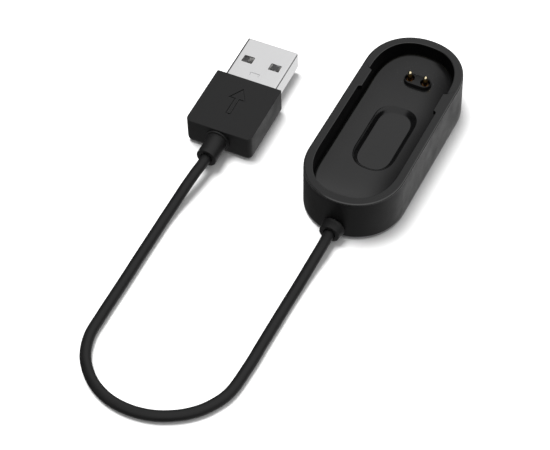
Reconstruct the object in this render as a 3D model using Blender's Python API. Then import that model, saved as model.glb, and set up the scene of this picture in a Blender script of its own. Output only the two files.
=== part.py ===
"""Charging cradle for a fitness tracker capsule, with a short captive lead and a type A plug.

Frame: +Z up, +Y along the cradle towards its contact pins, metres. The origin is on the table
under the middle of the cradle. The lead leaves at -Y, lies on the table in one loop and comes
back to the plug, which lies beside the cradle.
"""
import math

import bmesh
import bpy
from mathutils import Matrix, Vector

MM = 0.001

# Fits between pieces
GAP = 0.3 * MM            # pieces that rest on or sit in each other
SEAM = 0.1 * MM           # seams that show from outside
SNUG = 0.05 * MM          # metal pressed into plastic, and parts soldered to the board

# Cradle, outside
CRADLE_LENGTH = 49.7 * MM
CRADLE_WIDTH = 21.7 * MM
CRADLE_HEIGHT = 11.05 * MM
CRADLE_END_DEPTH = 11.0 * MM      # how much of each half is the rounded end
CRADLE_SQUARENESS = 2.1           # 2 is an ellipse, larger is squarer
WALL_DRAFT = 0.1 * MM             # the walls lean in by this much over their height
FOOT_CHAMFER = 0.15 * MM
SHELL_LIFT = 0.85 * MM            # the shell's lower edge stands on the base cover's rim
RIM_CHAMFER = 0.25 * MM

# Tracker pocket
POCKET_LENGTH = 45.6 * MM
POCKET_WIDTH = 17.8 * MM
POCKET_END_DEPTH = 10.6 * MM
POCKET_SQUARENESS = 2.38
POCKET_LIP = 0.15 * MM            # chamfer on the pocket's mouth
FLOOR_HEIGHT = 4.35 * MM           # top of the flat middle of the pocket floor
FLOOR_RISE = 2.8 * MM             # how much higher the floor is at the pocket's ends
FLOOR_FLAT = 8.0 * MM             # half length of the flat middle
FLOOR_DISH = 1.3 * MM             # how much higher the floor is at the long walls
FLOOR_FILLET = 0.8 * MM

# Sensor recess in the pocket floor
RECESS_LENGTH = 18.6 * MM
RECESS_WIDTH = 9.1 * MM
RECESS_Y = 0.3 * MM
RECESS_DEPTH = 0.9 * MM
RECESS_SLOPE = 1.0 * MM           # how far the sloped walls come in
RECESS_END_DEPTH = 5.0 * MM
RECESS_SQUARENESS = 2.5
ISLAND_WALL = 0.7 * MM            # plastic kept around and under the recess

# Grip tabs on the pocket's long walls
TAB_LENGTH = 5.8 * MM
TAB_REACH = 0.7 * MM
TAB_DEPTH = 1.6 * MM
TAB_Y = 8.8 * MM

# Underside
COVER_EDGE = 0.5 * MM             # round lower edge of the cover's rim, a band under the shell
COVER_INSET = 1.45 * MM           # the raised middle that locates the cover in the shell
COVER_THICKNESS = 1.2 * MM
CAVITY_INSET = 2.1 * MM
CAVITY_TOP = 3.35 * MM

# Circuit board and the bay above it
BOARD_Y = 15.7 * MM
BOARD_LENGTH = 10.6 * MM
BOARD_WIDTH = 12.4 * MM
BOARD_THICKNESS = 0.8 * MM
BOARD_BOTTOM = COVER_THICKNESS + GAP
BOARD_TOP = BOARD_BOTTOM + BOARD_THICKNESS
BAY_TOP = 3.95 * MM
BAY_FRONT_Y = 14.6 * MM
BAY_LENGTH = 6.5 * MM
BAY_WIDTH = 13.2 * MM

# Sprung contact pins
PIN_PITCH = 3.6 * MM
PIN_Y = 17.3 * MM
BLOCK_LENGTH = 6.1 * MM           # across the cradle
BLOCK_WIDTH = 2.95 * MM
BLOCK_TOP = 5.8 * MM
BLOCK_BORE = 1.05 * MM
BLOCK_FLANGE = 1.0 * MM
BLOCK_FLANGE_THICKNESS = 0.6 * MM
BARREL_RADIUS = 0.85 * MM
BARREL_BORE = 0.68 * MM
BARREL_MOUTH = 0.54 * MM
BARREL_TOP = 5.2 * MM
BARREL_FLOOR = 0.2 * MM
BARREL_LIP = 0.15 * MM
PLUNGER_RADIUS = 0.48 * MM
PLUNGER_FLANGE = 0.62 * MM
PLUNGER_FLANGE_THICKNESS = 0.25 * MM
PLUNGER_TIP = 7.6 * MM
SPRING_RADIUS = 0.42 * MM
SPRING_WIRE = 0.07 * MM
SPRING_TURNS = 4.5

# Lead
CABLE_RADIUS = 1.15 * MM
WIRE_RADIUS = 0.4 * MM
WIRE_OFFSET = 0.48 * MM           # half the distance between the two wires inside the lead
WIRE_BORE = 1.0 * MM
LEAD_EXIT_Z = 2.9 * MM
CABLE_STEP = 3.6 * MM             # distance between the cable curve's points

# Cradle strain relief
BOOT_BASE_RADIUS = 2.55 * MM
BOOT_TIP_RADIUS = 2.2 * MM
BOOT_LENGTH = 2.1 * MM
BOOT_NECK = 1.35 * MM
ANCHOR_WIDTH = 5.2 * MM
ANCHOR_HEIGHT = 2.6 * MM
ANCHOR_THICKNESS = 1.1 * MM
ANCHOR_Y = -21.35 * MM
WIRE_WAY_LENGTH = 1.6 * MM        # where the wires drop from the anchor to the cavity
WIRE_WAY_TOP = 3.5 * MM

# Plug, in its own frame: origin on the table under the overmould's front face, +Y to its tip
PLUG_POSITION = (-32.25 * MM, 1.05 * MM, 0.0)
PLUG_TURN = math.radians(1.6)
OVERMOULD_WIDTH = 15.2 * MM
OVERMOULD_LENGTH = 15.8 * MM
OVERMOULD_HEIGHT = 6.75 * MM
OVERMOULD_BACK_CORNER = 1.4 * MM
OVERMOULD_FRONT_CORNER = 0.25 * MM
OVERMOULD_FOOT = 1.3 * MM
PLUG_AXIS_Z = 3.75 * MM
USB_WIDTH = 12.0 * MM
USB_HEIGHT = 4.5 * MM
USB_WALL = 0.3 * MM
USB_CORNER = 0.55 * MM
USB_EXPOSED = 12.0 * MM
USB_BURIED = 5.0 * MM
WINDOW_X = 3.2 * MM
WINDOW_Y = 6.05 * MM
WINDOW_WIDTH = 2.5 * MM
WINDOW_LENGTH = 2.0 * MM
TONGUE_WIDTH = 11.2 * MM
TONGUE_THICKNESS = 1.9 * MM
TONGUE_END = 10.9 * MM
TONGUE_BLOCK_END = 1.6 * MM
CONTACT_XS = (-3.5 * MM, -1.0 * MM, 1.0 * MM, 3.5 * MM)
CONTACT_ENDS = (10.0 * MM, 9.0 * MM, 9.0 * MM, 10.0 * MM)
CONTACT_WIDTH = 1.0 * MM
CONTACT_THICKNESS = 0.2 * MM
CONTACT_TAIL = -6.3 * MM
MOULD_WIDTH = 11.0 * MM
MOULD_HEIGHT = 3.8 * MM
MOULD_BACK = -10.6 * MM
SLEEVE_RADIUS = 2.25 * MM
SLEEVE_LENGTH = 5.6 * MM
SLEEVE_COLLAR = 2.7 * MM
SLEEVE_COLLAR_THICKNESS = 0.35 * MM

END_STEPS = 10
SIDE_STEPS = 6
ROUND_STEPS = 24

# Route of the lead's middle line, from the cradle's strain relief to the plug's, in millimetres
CABLE_ROUTE = (
    (0.0, -27.35, 2.9),
    (0.05, -30.1, 2.65),
    (-0.2, -35.2, 1.85),
    (-0.35, -40.5, 1.3),
    (-0.45, -45.9, 1.17),
    (-0.46, -51.3, 1.17),
    (-0.46, -56.6, 1.17),
    (-0.46, -61.9, 1.17),
    (-0.94, -68.9, 1.17),
    (-2.9, -73.4, 1.17),
    (-5.55, -76.5, 1.17),
    (-8.7, -78.7, 1.17),
    (-12.2, -80.2, 1.17),
    (-16.2, -80.9, 1.17),
    (-20.5, -80.6, 1.17),
    (-24.2, -79.3, 1.17),
    (-27.3, -77.2, 1.17),
    (-30.3, -73.7, 1.17),
    (-32.0, -69.1, 1.17),
    (-32.3, -63.9, 1.17),
    (-32.4, -58.5, 1.17),
    (-32.5, -53.0, 1.17),
    (-32.65, -47.4, 1.17),
    (-32.75, -41.6, 1.17),
    (-32.8, -36.8, 1.3),
    (-32.65, -33.2, 1.75),
    (-32.45, -30.8, 2.3),
    (-32.2, -28.2, 2.95),
    (-31.9, -24.8, 3.5),
    (-31.65, -20.75, 3.75),
)

# Route of one wire under the pocket floor, on the +X side, in millimetres
CRADLE_WIRE_ROUTE = (
    (0.48, -24.3, 2.9),
    (0.48, -22.5, 2.9),
    (0.5, -20.8, 2.8),
    (0.8, -20.2, 2.6),
    (1.3, -19.7, 2.4),
    (2.0, -19.1, 2.2),
    (2.9, -18.4, 2.1),
    (4.6, -16.7, 2.1),
    (6.2, -14.4, 2.1),
    (6.9, -11.6, 2.1),
    (7.0, -6.0, 2.1),
    (7.0, 0.0, 2.1),
    (6.9, 5.0, 2.1),
    (6.3, 7.6, 2.1),
    (5.4, 9.2, 2.1),
    (5.0, 10.0, 2.1),
)

# Route of one wire inside the plug, on the +X side, in the plug's frame, in millimetres
PLUG_WIRE_ROUTE = (
    (3.5, -6.65, 3.75),
    (3.3, -7.2, 3.75),
    (2.2, -8.0, 3.75),
    (0.9, -8.7, 3.75),
    (0.5, -9.8, 3.75),
    (0.48, -12.0, 3.75),
    (0.48, -15.5, 3.75),
)


def clear_scene():
    """Remove whatever the opening scene holds."""
    for item in list(bpy.data.objects):
        bpy.data.objects.remove(item, do_unlink=True)


# Materials

def make_material(name, colour, roughness, metallic=0.0):
    """A Principled material with one colour, roughness and metallic value."""
    material = bpy.data.materials.new(name)
    material.use_nodes = True
    shader = material.node_tree.nodes["Principled BSDF"]
    shader.inputs["Base Color"].default_value = (*colour, 1.0)
    shader.inputs["Roughness"].default_value = roughness
    shader.inputs["Metallic"].default_value = metallic
    return material


def black_plastic(name):
    return make_material(name, (0.032, 0.032, 0.033), 0.42)


def soft_black(name):
    return make_material(name, (0.026, 0.026, 0.027), 0.55)


def bright_steel(name):
    return make_material(name, (0.76, 0.77, 0.78), 0.24, 1.0)


def gold_plate(name):
    return make_material(name, (0.83, 0.62, 0.29), 0.2, 1.0)


def spring_steel(name):
    return make_material(name, (0.62, 0.63, 0.65), 0.3, 1.0)


def board_laminate(name):
    return make_material(name, (0.012, 0.085, 0.045), 0.45)


def tin_plate(name):
    return make_material(name, (0.62, 0.6, 0.56), 0.3, 1.0)


def dark_insulator(name):
    return make_material(name, (0.075, 0.075, 0.08), 0.5)


def grey_insulator(name):
    return make_material(name, (0.2, 0.2, 0.205), 0.5)


def chip_ceramic(name):
    return make_material(name, (0.32, 0.22, 0.14), 0.5)


def wire_insulation(name, colour):
    return make_material(name, colour, 0.45)


# Objects from meshes

def add_object(name, mesh, material=None, parent=None):
    """Put a mesh in the scene, shaded smooth with sharp edges kept."""
    mesh.shade_smooth()
    mesh.set_sharp_from_angle(angle=math.radians(32.0))
    if material:
        mesh.materials.append(material)
    item = bpy.data.objects.new(name, mesh)
    bpy.context.scene.collection.objects.link(item)
    item.parent = parent
    return item


def closed_mesh(name, verts, faces):
    """A mesh from points and faces, with its faces turned outwards."""
    shape = bmesh.new()
    points = [shape.verts.new(vert) for vert in verts]
    for face in faces:
        shape.faces.new([points[index] for index in face])
    bmesh.ops.recalc_face_normals(shape, faces=shape.faces)
    mesh = bpy.data.meshes.new(name)
    shape.to_mesh(mesh)
    shape.free()
    return mesh


def loft(name, rings, material=None, parent=None, mirrored_caps=False):
    """A solid through rings of equal count, closed at both ends.

    With mirrored_caps each ring starts on the plane x = 0 and runs round symmetrically, and the
    ends are closed by strips across that plane, so that an end can be curved.
    """
    count = len(rings[0])
    verts = [point for ring in rings for point in ring]
    faces = []
    for level in range(len(rings) - 1):
        low = level * count
        high = low + count
        for index in range(count):
            after = (index + 1) % count
            faces.append((low + index, low + after, high + after, high + index))
    for start in (0, (len(rings) - 1) * count):
        if mirrored_caps:
            faces.extend(strip_cap(start, count))
        else:
            faces.append(tuple(range(start, start + count)))
    return add_object(name, closed_mesh(name, verts, faces), material, parent)


def strip_cap(start, count):
    """Faces that close a symmetric ring by strips between its two halves."""
    half = count // 2
    faces = [(start, start + 1, start + count - 1)]
    for index in range(1, half - 1):
        faces.append((start + index, start + index + 1,
                      start + count - index - 1, start + count - index))
    faces.append((start + half - 1, start + half, start + half + 1))
    return faces


def turned(name, profile, material=None, parent=None, steps=ROUND_STEPS):
    """A solid of revolution about Z from a closed profile of (radius, height) points."""
    verts = []
    rows = []
    for radius, height in profile:
        if radius == 0.0:
            rows.append([len(verts)] * steps)
            verts.append((0.0, 0.0, height))
            continue
        rows.append(list(range(len(verts), len(verts) + steps)))
        for step in range(steps):
            angle = 2.0 * math.pi * step / steps
            verts.append((radius * math.cos(angle), radius * math.sin(angle), height))
    faces = []
    for row, following in zip(rows, rows[1:] + rows[:1]):
        for step in range(steps):
            after = (step + 1) % steps
            corners = [row[step], row[after], following[after], following[step]]
            corners = list(dict.fromkeys(corners))
            if len(corners) > 2:
                faces.append(corners)
    return add_object(name, closed_mesh(name, verts, faces), material, parent)


def box(name, low, high, material=None, parent=None):
    """A rectangular solid between two corners."""
    ring = [(low[0], low[1]), (high[0], low[1]), (high[0], high[1]), (low[0], high[1])]
    rings = [[(x, y, z) for x, y in ring] for z in (low[2], high[2])]
    return loft(name, rings, material, parent)


def tube_along(name, points, radius, sides, material=None, parent=None):
    """A round bar along a line of points, with closed ends."""
    curve = bpy.data.curves.new(name, "CURVE")
    curve.dimensions = "3D"
    curve.bevel_depth = radius
    curve.bevel_resolution = sides // 2 - 2
    curve.use_fill_caps = True
    spline = curve.splines.new("POLY")
    spline.points.add(len(points) - 1)
    for target, point in zip(spline.points, points):
        target.co = (*point, 1.0)
    if material:
        curve.materials.append(material)
    item = bpy.data.objects.new(name, curve)
    bpy.context.scene.collection.objects.link(item)
    item.parent = parent
    return item


# Cutting and joining

def as_tool(item):
    """Mark an object as a cutter or a joined helper, which is not a piece itself."""
    item.hide_render = True
    item.display_type = "WIRE"
    return item


def combine(target, tool, operation):
    modifier = target.modifiers.new(tool.name, "BOOLEAN")
    modifier.operation = operation
    modifier.solver = "EXACT"
    modifier.object = as_tool(tool)


def cut(target, tool):
    combine(target, tool, "DIFFERENCE")


def join(target, tool):
    combine(target, tool, "UNION")


# Outlines

def capsule_outline(length, width, end_depth, squareness, inset=0.0):
    """A long outline with rounded ends, from the -Y pole round by +X, symmetric about x = 0."""
    half_length = length / 2 - inset
    half_width = width / 2 - inset
    depth = end_depth - inset
    straight = half_length - depth
    power = 2.0 / squareness
    corner = []
    for step in range(END_STEPS + 1):
        angle = 0.5 * math.pi * step / END_STEPS
        corner.append((half_width * math.sin(angle) ** power,
                       straight + depth * max(math.cos(angle), 0.0) ** power))
    corner[-1] = (half_width, straight)
    right = [(x, -y) for x, y in corner]
    for step in range(1, SIDE_STEPS):
        right.append((half_width, straight * (2.0 * step / SIDE_STEPS - 1.0)))
    right.extend(reversed(corner))
    left = [(-x, y) for x, y in reversed(right[1:-1])]
    return right + left


def flat_ring(outline, z, centre_y=0.0):
    return [(x, y + centre_y, z) for x, y in outline]


def stadium_outline(half_length, radius, steps=8):
    """An outline with straight sides along X and half-round ends."""
    points = []
    for side in (1.0, -1.0):
        for step in range(steps + 1):
            angle = math.pi * (step / steps - 0.5)
            points.append((side * (half_length - radius + radius * math.cos(angle)),
                           side * radius * math.sin(angle)))
    return points


def rounded_rectangle(half_width, half_height, corner, steps=4):
    """An outline with four round corners."""
    points = []
    for sign_x, sign_y, first in ((1, 1, 0.0), (-1, 1, 0.5), (-1, -1, 1.0), (1, -1, 1.5)):
        for step in range(steps + 1):
            angle = math.pi * (first + 0.5 * step / steps)
            points.append((sign_x * (half_width - corner) + corner * math.cos(angle),
                           sign_y * (half_height - corner) + corner * math.sin(angle)))
    return points


def smooth_route(route, step):
    """Points at even steps along a smooth curve through a route in millimetres."""
    points = [Vector(point) * MM for point in route]
    points = [2.0 * points[0] - points[1]] + points + [2.0 * points[-1] - points[-2]]
    fine = []
    for before, start, end, after in zip(points, points[1:], points[2:], points[3:]):
        for index in range(20):
            t = index / 20.0
            fine.append(0.5 * (2.0 * start + (end - before) * t
                               + (2.0 * before - 5.0 * start + 4.0 * end - after) * t ** 2
                               + (3.0 * start - before - 3.0 * end + after) * t ** 3))
    fine.append(points[-2])
    lengths = [0.0]
    for start, end in zip(fine, fine[1:]):
        lengths.append(lengths[-1] + (end - start).length)
    count = max(2, round(lengths[-1] / step))
    even = []
    place = 0
    for index in range(count + 1):
        wanted = lengths[-1] * index / count
        while place < len(fine) - 2 and lengths[place + 1] < wanted:
            place += 1
        share = (wanted - lengths[place]) / (lengths[place + 1] - lengths[place])
        even.append(fine[place].lerp(fine[place + 1], min(max(share, 0.0), 1.0)))
    return even


# Cradle

def cradle_outline(inset=0.0):
    return capsule_outline(CRADLE_LENGTH, CRADLE_WIDTH, CRADLE_END_DEPTH, CRADLE_SQUARENESS, inset)


def pocket_outline(inset=0.0):
    return capsule_outline(POCKET_LENGTH, POCKET_WIDTH, POCKET_END_DEPTH, POCKET_SQUARENESS, inset)


def recess_outline(inset=0.0):
    return capsule_outline(RECESS_LENGTH, RECESS_WIDTH, RECESS_END_DEPTH, RECESS_SQUARENESS, inset)


def floor_height(x, y):
    """The pocket floor is a shallow dish, flat along its middle and raised at both ends."""
    along = max(abs(y) - FLOOR_FLAT, 0.0) / (POCKET_LENGTH / 2 - FLOOR_FLAT)
    across = x / (POCKET_WIDTH / 2)
    return FLOOR_HEIGHT + FLOOR_RISE * along ** 3 + FLOOR_DISH * across ** 2


def pocket_tool():
    """The space that the tracker takes: upright walls, filleted into the curved floor."""
    over = 1.0 * MM
    rings = [flat_ring(pocket_outline(-POCKET_LIP - over), CRADLE_HEIGHT + over),
             flat_ring(pocket_outline(-POCKET_LIP), CRADLE_HEIGHT),
             flat_ring(pocket_outline(), CRADLE_HEIGHT - POCKET_LIP)]
    for degrees in (0.0, 30.0, 60.0, 90.0):
        angle = math.radians(degrees)
        inset = FLOOR_FILLET * (1.0 - math.cos(angle))
        lift = FLOOR_FILLET * (1.0 - math.sin(angle))
        rings.append([(x, y, floor_height(x, y) + lift) for x, y in pocket_outline(inset)])
    for inset in (2.5 * MM, 5.0 * MM, 7.5 * MM):
        rings.append([(x, y, floor_height(x, y)) for x, y in pocket_outline(inset)])
    return loft("pocket_tool", rings, mirrored_caps=True)


def shell_body():
    outside = [flat_ring(cradle_outline(FOOT_CHAMFER), SHELL_LIFT),
               flat_ring(cradle_outline(), SHELL_LIFT + FOOT_CHAMFER),
               flat_ring(cradle_outline(WALL_DRAFT), CRADLE_HEIGHT - RIM_CHAMFER),
               flat_ring(cradle_outline(WALL_DRAFT + RIM_CHAMFER), CRADLE_HEIGHT)]
    return loft("cradle_shell", outside, black_plastic("shell_plastic"), mirrored_caps=True)


def cradle_shell():
    """The outer moulding: walls, rim, curved pocket floor and the space for the electronics."""
    shell = shell_body()
    cut(shell, pocket_tool())
    below = -1.0 * MM
    cut(shell, loft("cover_seat_tool",
                    [flat_ring(cradle_outline(COVER_INSET - GAP), z)
                     for z in (below, COVER_THICKNESS + GAP)]))
    cut(shell, loft("cavity_tool",
                    [flat_ring(cradle_outline(CAVITY_INSET), z) for z in (below, CAVITY_TOP)]))
    island_bottom = FLOOR_HEIGHT - RECESS_DEPTH - ISLAND_WALL
    join(shell, loft("recess_island_tool",
                     [flat_ring(recess_outline(-ISLAND_WALL), z, RECESS_Y)
                      for z in (island_bottom, CAVITY_TOP + GAP)]))
    over = 0.5 * MM
    spread = RECESS_SLOPE * over / RECESS_DEPTH
    cut(shell, loft("recess_tool",
                    [flat_ring(recess_outline(RECESS_SLOPE), FLOOR_HEIGHT - RECESS_DEPTH, RECESS_Y),
                     [(x, y + RECESS_Y, floor_height(x, y)) for x, y in recess_outline()],
                     [(x, y + RECESS_Y, floor_height(x, y) + over)
                      for x, y in recess_outline(-spread)]], mirrored_caps=True))
    cut_board_bay(shell)
    cut_lead_exit(shell)
    for side, label in ((-1.0, "left"), (1.0, "right")):
        join(shell, grip_tab(side, label))
    return shell


def cut_board_bay(shell):
    """Room above the board, and the hole that the pin block comes up through."""
    half = BAY_WIDTH / 2
    cut(shell, box("board_bay_tool", (-half, BAY_FRONT_Y, BOARD_BOTTOM),
                   (half, BAY_FRONT_Y + BAY_LENGTH, BAY_TOP)))
    outline = stadium_outline(BLOCK_LENGTH / 2 + SEAM, BLOCK_WIDTH / 2 + SEAM)
    cut(shell, loft("block_hole_tool",
                    [flat_ring(outline, z, PIN_Y) for z in (BOARD_TOP, BLOCK_TOP + GAP)]))


def cut_lead_exit(shell):
    """A round hole through the end wall, and a pocket for the strain relief's anchor."""
    hole = turned("lead_hole_tool",
                  [(0.0, -2.0 * MM), (BOOT_NECK + GAP, -2.0 * MM),
                   (BOOT_NECK + GAP, 4.0 * MM), (0.0, 4.0 * MM)])
    hole.location = (0.0, -CRADLE_LENGTH / 2, LEAD_EXIT_Z)
    hole.rotation_euler = (-math.pi / 2, 0.0, 0.0)
    cut(shell, hole)
    half = ANCHOR_WIDTH / 2 + GAP
    back = ANCHOR_Y - ANCHOR_THICKNESS / 2 - GAP
    front = ANCHOR_Y + ANCHOR_THICKNESS / 2 + GAP
    low = COVER_THICKNESS
    cut(shell, box("anchor_pocket_tool", (-half, back, low),
                   (half, front, LEAD_EXIT_Z + ANCHOR_HEIGHT / 2 + GAP)))
    cut(shell, box("wire_way_tool", (-half, front - SNUG, low),
                   (half, front + WIRE_WAY_LENGTH, WIRE_WAY_TOP)))


def grip_tab(side, label):
    """A low rib on a long pocket wall, flush with the rim, that holds the tracker in."""
    root = POCKET_WIDTH / 2 + 0.8 * MM
    tip = POCKET_WIDTH / 2 - TAB_REACH
    corner = 0.35 * MM
    half = TAB_LENGTH / 2
    outline = [(root, -half), (tip + corner, -half), (tip, -half + corner),
               (tip, half - corner), (tip + corner, half), (root, half)]
    top = CRADLE_HEIGHT
    lower = [(x + (0.3 * MM if x < root else 0.0), y) for x, y in outline]
    rings = [[(side * x, y + TAB_Y, z) for x, y in shape]
             for shape, z in ((lower, top - TAB_DEPTH), (outline, top - TAB_DEPTH + 0.4 * MM),
                              (outline, top))]
    return loft("grip_tab_" + label + "_tool", rings)


def base_cover():
    """The plate that closes the cradle: a rim under the shell's edge and a raised middle."""
    rings = []
    for degrees in (0.0, 30.0, 60.0, 90.0):
        angle = math.radians(degrees)
        inset = COVER_EDGE * (1.0 - math.sin(angle))
        rings.append(flat_ring(cradle_outline(inset), COVER_EDGE * (1.0 - math.cos(angle))))
    rim_top = SHELL_LIFT - SEAM
    rings.append(flat_ring(cradle_outline(), rim_top))
    rings.append(flat_ring(cradle_outline(COVER_INSET), rim_top))
    rings.append(flat_ring(cradle_outline(COVER_INSET), COVER_THICKNESS))
    return loft("base_cover", rings, black_plastic("cover_plastic"))


def circuit_board():
    outline = capsule_outline(BOARD_LENGTH, BOARD_WIDTH, 3.0 * MM, 2.0)
    rings = [flat_ring(outline, z, BOARD_Y) for z in (BOARD_BOTTOM, BOARD_TOP)]
    return loft("circuit_board", rings, board_laminate("board_laminate"))


def board_component(name, centre, size, material):
    """A small part soldered on top of the board, with metal ends left to its material."""
    low = (centre[0] - size[0] / 2, centre[1] - size[1] / 2, BOARD_TOP + SNUG)
    high = (centre[0] + size[0] / 2, centre[1] + size[1] / 2, BOARD_TOP + SNUG + size[2])
    return box(name, low, high, material)


# Contact pins

def pin_block():
    """The insulator that holds both pins: a flange under the floor and a raised island."""
    half_length = BLOCK_LENGTH / 2
    radius = BLOCK_WIDTH / 2
    base = BOARD_TOP + SNUG
    flange_top = base + BLOCK_FLANGE_THICKNESS
    chamfer = 0.15 * MM
    flange = stadium_outline(half_length + BLOCK_FLANGE, radius + BLOCK_FLANGE)
    body = stadium_outline(half_length, radius)
    top = stadium_outline(half_length - chamfer, radius - chamfer)
    rings = [flat_ring(flange, base, PIN_Y), flat_ring(flange, flange_top, PIN_Y),
             flat_ring(body, flange_top, PIN_Y), flat_ring(body, BLOCK_TOP - chamfer, PIN_Y),
             flat_ring(top, BLOCK_TOP, PIN_Y)]
    block = loft("pin_block", rings, black_plastic("pin_block_plastic"))
    for side, label in ((-1.0, "left"), (1.0, "right")):
        bore = turned("pin_bore_" + label + "_tool",
                      [(0.0, 0.0), (BLOCK_BORE, 0.0), (BLOCK_BORE, 6.0 * MM), (0.0, 6.0 * MM)])
        bore.location = (side * PIN_PITCH / 2, PIN_Y, 1.0 * MM)
        cut(block, bore)
    return block


def pin_barrel(label, x):
    """A gold plated cup with a lip round its mouth, which keeps the plunger in."""
    height = BARREL_TOP - BOARD_TOP - SNUG
    chamfer = 0.08 * MM
    profile = [(0.0, 0.0), (BARREL_RADIUS, 0.0), (BARREL_RADIUS, height - chamfer),
               (BARREL_RADIUS - chamfer, height), (BARREL_MOUTH, height),
               (BARREL_MOUTH, height - BARREL_LIP), (BARREL_BORE, height - BARREL_LIP),
               (BARREL_BORE, BARREL_FLOOR), (0.0, BARREL_FLOOR)]
    barrel = turned("pin_barrel_" + label, profile, gold_plate("barrel_gold_" + label))
    barrel.location = (x, PIN_Y, BOARD_TOP + SNUG)
    return barrel


def plunger_bottom():
    return BARREL_TOP - BARREL_LIP - SNUG - PLUNGER_FLANGE_THICKNESS


def pin_plunger(label, x):
    """The moving pin: a collar inside the barrel and a round-ended shaft above it."""
    height = PLUNGER_TIP - plunger_bottom()
    dome = PLUNGER_RADIUS
    profile = [(0.0, 0.0), (PLUNGER_FLANGE, 0.0), (PLUNGER_FLANGE, PLUNGER_FLANGE_THICKNESS),
               (PLUNGER_RADIUS, PLUNGER_FLANGE_THICKNESS)]
    for step in range(5):
        angle = 0.5 * math.pi * step / 5
        profile.append((dome * math.cos(angle), height - dome + dome * math.sin(angle)))
    profile.append((0.0, height))
    plunger = turned("pin_plunger_" + label, profile, gold_plate("plunger_gold_" + label))
    plunger.location = (x, PIN_Y, plunger_bottom())
    return plunger


def pin_spring(label, x):
    """A small compression spring between the barrel's floor and the plunger."""
    low = BOARD_TOP + SNUG + BARREL_FLOOR + SNUG + SPRING_WIRE
    high = plunger_bottom() - SNUG - SPRING_WIRE
    per_turn = 10
    count = round(SPRING_TURNS * per_turn)
    points = []
    for index in range(count + 1):
        angle = 2.0 * math.pi * index / per_turn
        points.append((SPRING_RADIUS * math.cos(angle), SPRING_RADIUS * math.sin(angle),
                       low + (high - low) * index / count))
    spring = tube_along("pin_spring_" + label, points, SPRING_WIRE, 6,
                        spring_steel("spring_steel_" + label))
    spring.location = (x, PIN_Y, 0.0)
    return spring


# Lead

def mirrored(route):
    return [(-x, y, z) for x, y, z in route]


def wire(name, route, colour, parent=None):
    points = smooth_route(route, 1.6 * MM)
    return tube_along(name, points, WIRE_RADIUS, 8, wire_insulation(name + "_sleeve", colour), parent)


def lead_cable():
    points = smooth_route(CABLE_ROUTE, CABLE_STEP)
    return tube_along("cable_jacket", points, CABLE_RADIUS, 8, soft_black("cable_rubber"))


def cradle_strain_relief():
    """A short tapered boot outside, a neck through the wall and a flat anchor inside."""
    outer_face = CRADLE_LENGTH / 2
    base = outer_face + SEAM
    tip = base + BOOT_LENGTH
    inner = -(ANCHOR_Y + ANCHOR_THICKNESS / 2)
    bore_end = outer_face - SEAM
    chamfer = 0.15 * MM
    profile = [(0.0, bore_end), (WIRE_BORE, bore_end), (WIRE_BORE, inner), (BOOT_NECK, inner),
               (BOOT_NECK, base), (BOOT_BASE_RADIUS, base), (BOOT_TIP_RADIUS, tip - chamfer),
               (BOOT_TIP_RADIUS - chamfer, tip), (0.0, tip)]
    boot = turned("cradle_strain_relief", profile, soft_black("cradle_boot_rubber"))
    boot.location = (0.0, 0.0, LEAD_EXIT_Z)
    boot.rotation_euler = (math.pi / 2, 0.0, 0.0)
    half_y = ANCHOR_THICKNESS / 2
    anchor = box("anchor_tool",
                 (-ANCHOR_WIDTH / 2, ANCHOR_Y - half_y, LEAD_EXIT_Z - ANCHOR_HEIGHT / 2),
                 (ANCHOR_WIDTH / 2, ANCHOR_Y + half_y, LEAD_EXIT_Z + ANCHOR_HEIGHT / 2))
    bore = turned("anchor_bore_tool",
                  [(0.0, inner - 1.0 * MM), (WIRE_BORE, inner - 1.0 * MM),
                   (WIRE_BORE, bore_end), (0.0, bore_end)])
    bore.location = boot.location
    bore.rotation_euler = boot.rotation_euler
    join(boot, anchor)
    cut(boot, bore)
    return boot


# Plug

def plug_frame():
    """An empty at the plug's origin, which places every piece of the plug."""
    empty = bpy.data.objects.new("plug_frame", None)
    bpy.context.scene.collection.objects.link(empty)
    empty.location = PLUG_POSITION
    empty.rotation_euler = (0.0, 0.0, PLUG_TURN)
    return empty


def overmould_outline(inset=0.0):
    """A rectangle with round corners at the lead's end and tight ones at the shell's."""
    half = OVERMOULD_WIDTH / 2 - inset
    front = -inset
    back = -OVERMOULD_LENGTH + inset
    points = []
    corners = ((half, front, OVERMOULD_FRONT_CORNER, 0.0), (-half, front, OVERMOULD_FRONT_CORNER, 0.5),
               (-half, back, OVERMOULD_BACK_CORNER, 1.0), (half, back, OVERMOULD_BACK_CORNER, 1.5))
    for x, y, radius, first in corners:
        centre_x = x - math.copysign(radius, x)
        centre_y = y - radius if y == front else y + radius
        for step in range(6):
            angle = math.pi * (first + 0.1 * step)
            points.append((centre_x + radius * math.cos(angle), centre_y + radius * math.sin(angle)))
    return points


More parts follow.
